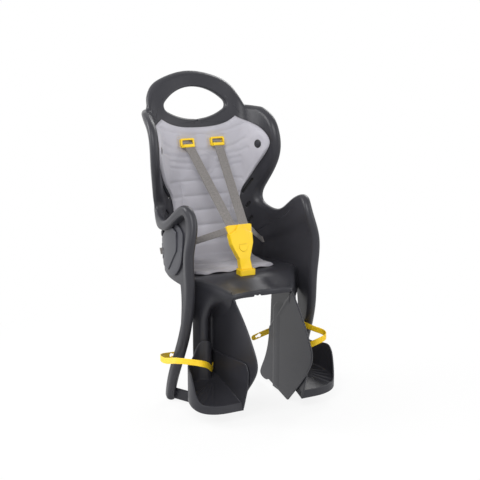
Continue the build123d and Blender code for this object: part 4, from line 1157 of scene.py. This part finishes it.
edge_share = np.sqrt(np.clip(1 - (1 - np.clip(border_gap / 9, 0, 1)) ** 2, 0, 1))
guide_gap = np.maximum(np.abs(aside - GUIDE_X) - 22, np.abs(z - GUIDE_Z) - 15)
thick = 1.0 + PAD_FULL * edge_share - 3.4 * np.exp(-(seam / 2.6) ** 2) * edge_share
thick = np.where((guide_gap < 4) & ~on_seat, np.minimum(thick, 4.5 + 0.3 * np.maximum(guide_gap, 0)), thick)
snap_gap = np.hypot(aside - SNAP_X, z - SNAP_Z) - 10
thick = np.where(snap_gap < 6, np.minimum(thick, 6.6 + 0.25 * np.maximum(snap_gap, 0)), thick)
print("sewn points", int((seam < 2.2).sum()), "thickest", round(float(thick.max()), 1))

# %% Blow up the quilts
points, faces = thick_sheet(sheet + pad_out * PAD_GAP, pad_out, thick[..., None])
pad_quilt = put("pad_quilt", points, faces, PAD_CLOTH, slot="pad", weld=0)
SEWN = np.maximum(np.exp(-(seam / 2.2) ** 2), (border_gap < 3.0) * 1.0)
SEWN = np.maximum(SEWN, ((guide_gap < 2) & ~on_seat) | (snap_gap < 3))
PUFF_CAP = 4.0
rest = np.empty(len(pad_quilt.data.vertices) * 3)
pad_quilt.data.vertices.foreach_get("co", rest)
rest = rest.reshape(-1, 3)
is_front = np.concatenate([np.zeros(thick.size), (1 - SEWN).ravel()])
group = pad_quilt.vertex_groups.new(name="sewn")
for level in np.linspace(0, 1, 11):
    chosen = np.nonzero(np.abs(1 - is_front - level) <= 0.05)[0]
    group.add(chosen.tolist(), float(level), "REPLACE")
cloth = pad_quilt.modifiers.new("cloth", "CLOTH")
cloth.settings.vertex_group_mass = "sewn"
cloth.settings.use_pressure, cloth.settings.uniform_pressure_force = True, 4.0
cloth.settings.effector_weights.gravity = 0.0
cloth.settings.mass, cloth.settings.quality = 0.2, 5
for frame_number in range(1, 21):
    SCENE.frame_set(frame_number)
blown = pad_quilt.evaluated_get(bpy.context.evaluated_depsgraph_get()).data
after = np.empty(rest.size)
blown.vertices.foreach_get("co", after)
move = after.reshape(-1, 3) - rest
pad_quilt.modifiers.remove(cloth)
pad_quilt.vertex_groups.clear()
SCENE.frame_set(1)
reach = np.linalg.norm(move, axis=1, keepdims=True)
move *= np.minimum(1, PUFF_CAP * MM / np.maximum(reach, 1e-9)) * is_front[:, None]
pad_quilt.data.vertices.foreach_set("co", (rest + move).ravel())
pad_quilt.data.update()
soften = pad_quilt.modifiers.new("soften", "SUBSURF")
soften.levels = soften.render_levels = 1
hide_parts("seat_pad")
print("pad moved by up to", round(float(reach.max()) / MM, 1), "mm, kept to", PUFF_CAP, "mm")

# %% [markdown]
# ## Footrests
# A footrest is a deep moulded cup: one wall carried round the plan of the foot, high round the
# heel and only a low lip at the toe, with a ribbed floor inside and a skirt below. Every point of
# the plan's outline gets the same profile, stretched to the rim's height there. A separate flat
# wall stands along the guard's panel, and a lug behind the heel reaches through the guard.

# %% Footrest outline and rim
FLOOR_HEEL, FLOOR_FALL, SKIRT, CUP_WALL = -182.0, math.tan(math.radians(15.5)), 15.0, 3.5
CLEAR, RIDGE_MID, HEEL_R, TOE_Y = 2.6, np.array([116.8, -44.2]), 14.6, -167.0


def floor_z(y):
    """Top of the footrest's floor, which falls towards the toe."""
    return FLOOR_HEEL + (y + 40) * FLOOR_FALL


swing = np.radians(np.linspace(-148.8, -80.7, 24))
heel_arc = RIDGE_MID + HEEL_R * np.stack([np.cos(swing), np.sin(swing)], -1)
inner_toe = (panel_x(TOE_Y) + CLEAR, TOE_Y)
outer = curve([heel_arc[-1], (144, -56), (170, -77), (185, -112), (177, -145), (150, -162), (112, TOE_Y),
               inner_toe], 200)
cup_line = closed_line([[(panel_x(-17.3) + CLEAR, -17.3)], heel_arc, outer[1:]], 340)
rim_across = curve([(60, -127), (86, -127), (105, -103), (122, -92), (139, -103), (158, -131), (172, -133),
                    (220, -133)], 200)
rim_along = curve([(-94, -118), (-108, -133), (-123, -148), (-131, -171), (-140, -194),
                   (-152, floor_z(-152) + 5)], 120)
low_rim = np.where(cup_line[:, 1] > -94, 0.0, np.interp(-cup_line[:, 1], -rim_along[:, 0], rim_along[:, 1]))
low_rim = np.where(cup_line[:, 1] < -152, floor_z(cup_line[:, 1]) + 5, low_rim)
rim_z = np.minimum(np.interp(cup_line[:, 0], *rim_across.T), low_rim)
rim_z = smoothed(np.tile(rim_z, 3), 17)[len(cup_line):2 * len(cup_line)]
print("footrest outline", len(cup_line), "rim from", round(rim_z.min()), "to", round(rim_z.max()))


# %% Footrest cup
FAN_X, FAN_Y, FAN, RIB_HIGH, RIB_WIDE = 104.0, -70.0, np.radians([26.0, 35.0, 44.0, 53.0, 64.0]), 1.7, 1.5


def floor_ribs(x, y):
    """Low ribs that fan out over the floor from a point near the heel."""
    rise = np.zeros_like(x)
    for heading in FAN:
        along = (x - FAN_X) * math.cos(heading) - (y - FAN_Y) * math.sin(heading)
        aside = (x - FAN_X) * math.sin(heading) + (y - FAN_Y) * math.cos(heading)
        rise = np.maximum(rise, RIB_HIGH * np.exp(-(aside / RIB_WIDE) ** 2) * step_up((along - 4) / 8))
    return rise


a, b = np.array([92.0, -48.0]), np.array([128.0, -128.0])
share = np.clip(((cup_line - a) @ (b - a)) / ((b - a) @ (b - a)), 0, 1)
to_spine = a + share[:, None] * (b - a) - cup_line
span = np.linalg.norm(to_spine, axis=1)[:, None]
r = CUP_WALL / 2
low = (floor_z(cup_line[:, 1]) - SKIRT)[:, None]
top = rim_z[:, None] - r
ground = floor_z(cup_line[:, 1])[:, None]
UNDER, UP, NOSE_TURN, DOWN, FILLET = 12, 11, 9, 9, CUP_WALL + 1.4
half_turn = np.linspace(0, math.pi, NOSE_TURN)
inside_run = np.linspace(0, 1, 30)[1:] ** 1.1
ones = np.ones_like(span)
depth = np.concatenate([
    CUP_WALL + (span - CUP_WALL) * np.linspace(1, 0, UNDER), ones * [3.2, 3.0, 2.4, 1.2, 0.4],
    ones * np.zeros(UP),
    ones * (r - r * np.cos(half_turn)), ones * np.full(DOWN, CUP_WALL), ones * [CUP_WALL + 0.4, FILLET],
    FILLET + (span - FILLET) * inside_run], 1)
flat = cup_line[:, None] + to_spine[:, None] * (depth / span)[..., None]
deck = floor_z(flat[..., 1])
floor_from = UNDER + 5 + UP + NOSE_TURN + DOWN + 2
up = np.concatenate([
    deck[:, :UNDER] - CUP_WALL, low + [4.0, 0.8, 0.0, 0.0, 0.5],
    low + 1.5 + (top - low - 1.5) * np.linspace(0, 1, UP),
    top + r * np.sin(half_turn),
    top + (np.minimum(ground + 2.5, top - 0.3) - top) * np.linspace(0, 1, DOWN + 1)[1:],
    np.minimum(deck[:, floor_from - 2:floor_from] + [1.3, 0.3], top),
    deck[:, floor_from:] + floor_ribs(*np.moveaxis(flat[:, floor_from:], -1, 0))], 1)
cup = raised(flat, up)
print("cup profile", cup.shape)

# %% Footrest pieces
WALL_LINE = [(-24, -150), (-24, -127), (-73, -127), (-150, -118.5), (-181, -117), (-192, -134), (-189, -169),
             (TOE_Y, floor_z(TOE_Y) - 14), (-24, floor_z(-24) - 14), (-24, -150)]
wall_line = rounded(WALL_LINE, [3, 60, 60, 9, 8, 12, 6, 3], 260)[:-1]
around = np.linspace(0, 2 * math.pi, 33)[:-1]
disc = np.stack([np.cos(around), np.sin(around)], -1)
WALL_GAP, LUG_Z, LUG_HIGH, STUD_CAP_R = 4.35, -155.0, 20.0, 4.4
slope_mid = (SLOPE_REAR + SLOPE_FRONT) / 2
for name, side in SIDES:
    more = {"body": f"footrest_{name}", "slot": "shell"}
    cup_piece = put(f"foot_cup_{name}", cup * sided(side), grid_faces(*cup.shape[:2], wrap_rows=True),
                    CHARCOAL, **more)
    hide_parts(f"footrest_{name}")
    plate(f"foot_wall_{name}", wall_line, [(-60, -172), (-150, -172)], beside_panel(side, WALL_GAP), CUP_WALL,
          columns=18, **more)
    lug, stud = wall_frame(side, slope_mid, LUG_Z, slope_run), wall_frame(side, stud_at, STUD_Z, slope_run)
    for kind, outline, spine, place, thick, columns in (
            ("lug", box_outline(3.5, LUG_HIGH, 1.4, 60), [(0, -14), (0, 14)], set_on(lug, 0.2), 7.4, 5),
            ("lug_head", box_outline(7, LUG_HIGH, 2.8, 60), [(0, -12), (0, 12)], set_on(lug, -4.6), 4.0, 5),
            ("stud", disc * STUD_R, [(-0.5, 0), (0.5, 0)], set_on(stud, 7.0), 5.0, 4),
            ("stud_cap", disc * STUD_CAP_R, [(-1, 0), (1, 0)], set_on(stud, 9.4), 1.6, 5)):
        plate(f"foot_{kind}_{name}", outline, spine, place, thick, columns=columns, **more)

# %% [markdown]
# ## Ties and vents
# A low web ties each strut's foot to the guard behind it. The back has slanted vents beside the
# pad, cut out with Booleans that are applied at once. A pocket painted near-black closes each vent from
# behind: painted shade for the dark inside of the vent.

# %% Ties
TIE_FROM, TIE_RUN, TIE_MID = np.array([134.0, -24.0]), unit(np.array([32.0, 62.0])), (35, -243)
tie_line = box_outline(35, 14, 3, 120) + TIE_MID
for name, side in SIDES:
    plate(f"strut_tie_{name}", tie_line, [(10, -243), (60, -243)],
          set_on(wall_frame(side, TIE_FROM, 0, TIE_RUN)), 4.0, columns=8, slot="shell")


# %% Vents
def slit(length, width):
    """Long slot with round corners."""
    return box_outline(length / 2, width / 2, width * 0.35, 48)


# near-black paint is painted shade: the pockets behind the vents stand in for the dark inside them
VENT_SHADE = moulded("painted_vent_shade", (0.004, 0.004, 0.005), (0.006, 0.006, 0.007), 0.7)
VENTS = ((112, 214, 46), (111, 166, 18), (113.5, 130, 18))
VENT_WIDTH, POCKET_WIDTH, POCKET_OVER, POCKET_BACK = 6, 14, 8, 2.2
cutters = []
for name, side in SIDES[::-1]:
    for x, z, long in VENTS:
        spot, out = on_back(side, x, z)
        slant = np.array([side, 0, 1.0])
        run = unit(slant - out * (out @ slant))
        rise = unit(np.cross(out, run))
        cutters.append(prism("vent", slit(long, VENT_WIDTH), spot, run, rise, 12.0))
        # the pocket behind the vent wears the near-black painted shade
        plate(f"vent_pocket_{z}_{name}", slit(long + POCKET_OVER, POCKET_WIDTH),
              [(-long / 3, 0), (long / 3, 0)], set_on((spot, run, rise, out), -WALL - POCKET_BACK), 4.0,
              paint=VENT_SHADE, columns=6, slot="shell")
cut(shell_wall, cutters)

# %% [markdown]
# ## Side covers
# The covers beside the hips carry a raised field with a slanting lower edge, and a round knob
# behind it. Both follow the cover's curved face: each flat outline in side view is set on the
# bucket's table and moved out along its normal.


# %% Raised field and knob on the side covers
COVER_FACE, FIELD_LIFT, KNOB_Y, KNOB_Z, KNOB_R, KNOB_LIFT = 9.0, 0.6, 147.0, 120.0, 9.0, -1.0
FIELD = [(75, 148), (45, 157), (22, 149), (12, 118), (13, 106), (66, 50), (112, 50), (133, 80), (137, 110),
         (100, 134), (75, 148)]
field = rounded(FIELD, [14, 8, 20, 6, 4, 12, 20, 12, 20], 220)[:-1]


def on_cover(side, lift):
    """Placer on a cover: side view (y, z), moved out of the bucket by the cover's face and a lift."""
    def stand(y, z, n):
        w = across_at(z.ravel(), y.ravel(), 1)
        out = wall_normal(w, z.ravel()) * (COVER_FACE + (n + lift).ravel()[:, None])
        return (read(TABLE, w, z.ravel()) + out).reshape(*z.shape, 3) * sided(side)

    return stand


for name, side in SIDES:
    plate(f"cover_field_{name}", field, [(50, 100), (95, 90)], on_cover(side, FIELD_LIFT), 4.2,
          paint=COVER_GREY, columns=14, slot="cover")
    plate(f"cover_knob_{name}", disc * KNOB_R + np.array([KNOB_Y, KNOB_Z]),
          [(KNOB_Y - 2, KNOB_Z), (KNOB_Y + 2, KNOB_Z)], on_cover(side, KNOB_LIFT), 9.0, columns=8, slot="shell")

# %% [markdown]
# ## Guides, buckle and small parts
# The yellow mouldings keep their solids' shape. A weld and a small bevel give their edges the soft
# highlight that a moulding has, and each guide gets the thick bar behind which its strap comes out.

# %% Guide bars
BAR_HALF, BAR_HIGH, BAR_DOWN, BAR_LIFT, BAR_SINK = 18.5, 4.0, 8.0, 20.5, 6.5
bar = box_outline(BAR_HALF, BAR_HIGH, 2.6, 90)
for name, side in SIDES:
    lie = set_on(back_frame(side, GUIDE_X, GUIDE_Z))

    def bowed(p, q, n, lie=lie):
        """Placer on the back: the bar stands off in the middle, and its ends sink."""
        return lie(p, q - BAR_DOWN, n + (BAR_LIFT - BAR_SINK * step_up((np.abs(p) - 13) / 5)))

    plate(f"guide_bar_{name}", bar, [(-14, 0), (14, 0)], bowed, 4.4, paint=YELLOW, columns=6, slot="yellow")

# %% Snaps
SNAP_RINGS = (("rim", 10.5, 7.4, 3.2, SNAP_DARK), ("cap", 6.4, 8.9, 2.0, COVER_GREY),
              ("dot", 1.8, 9.8, 1.2, SNAP_DARK))
for name, side in SIDES:
    spot = back_frame(side, SNAP_X, SNAP_Z)
    for kind, radius, lift, thick, paint in SNAP_RINGS:
        snap = plate(f"snap_{kind}_{name}", disc * radius, [(-0.3, 0), (0.3, 0)], set_on(spot, lift), thick,
                     paint=paint, columns=6, slot="snap")
        if (kind, name) == ("rim", "left"):
            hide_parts("pad_snaps")

# %% Softened edges
SOFT_EDGED = ["buckle_housing", "buckle_button", "crotch_base"]
SOFT_EDGED += [f"{kind}_{name}" for kind in ("buckle_tongue", "strap_guide", "side_cover") for name, _ in SIDES]
for name in SOFT_EDGED:
    join = NODES[name].modifiers.new("join", "WELD")
    join.merge_threshold = 0.00001
    ease = NODES[name].modifiers.new("ease", "BEVEL")
    ease.width, ease.segments, ease.limit_method, ease.angle_limit = 0.0007, 2, "ANGLE", math.radians(35)
print("softened", len(SOFT_EDGED), "nodes")


# %% Finishes on the part's own nodes
PAINTS = {"shell": CHARCOAL, "cover": COVER_GREY, "pad": PAD_CLOTH, "snap": SNAP_DARK, "yellow": YELLOW,
          "yellow_soft": YELLOW_SOFT, "webbing": WEBBING_GREY, "steel": STEEL, "brass": BRASS}
for part in frame["record"]["subparts"]:
    mesh = NODES[part["node"]].data
    mesh.materials.clear()
    mesh.materials.append(PAINTS[part["material_slot"]])
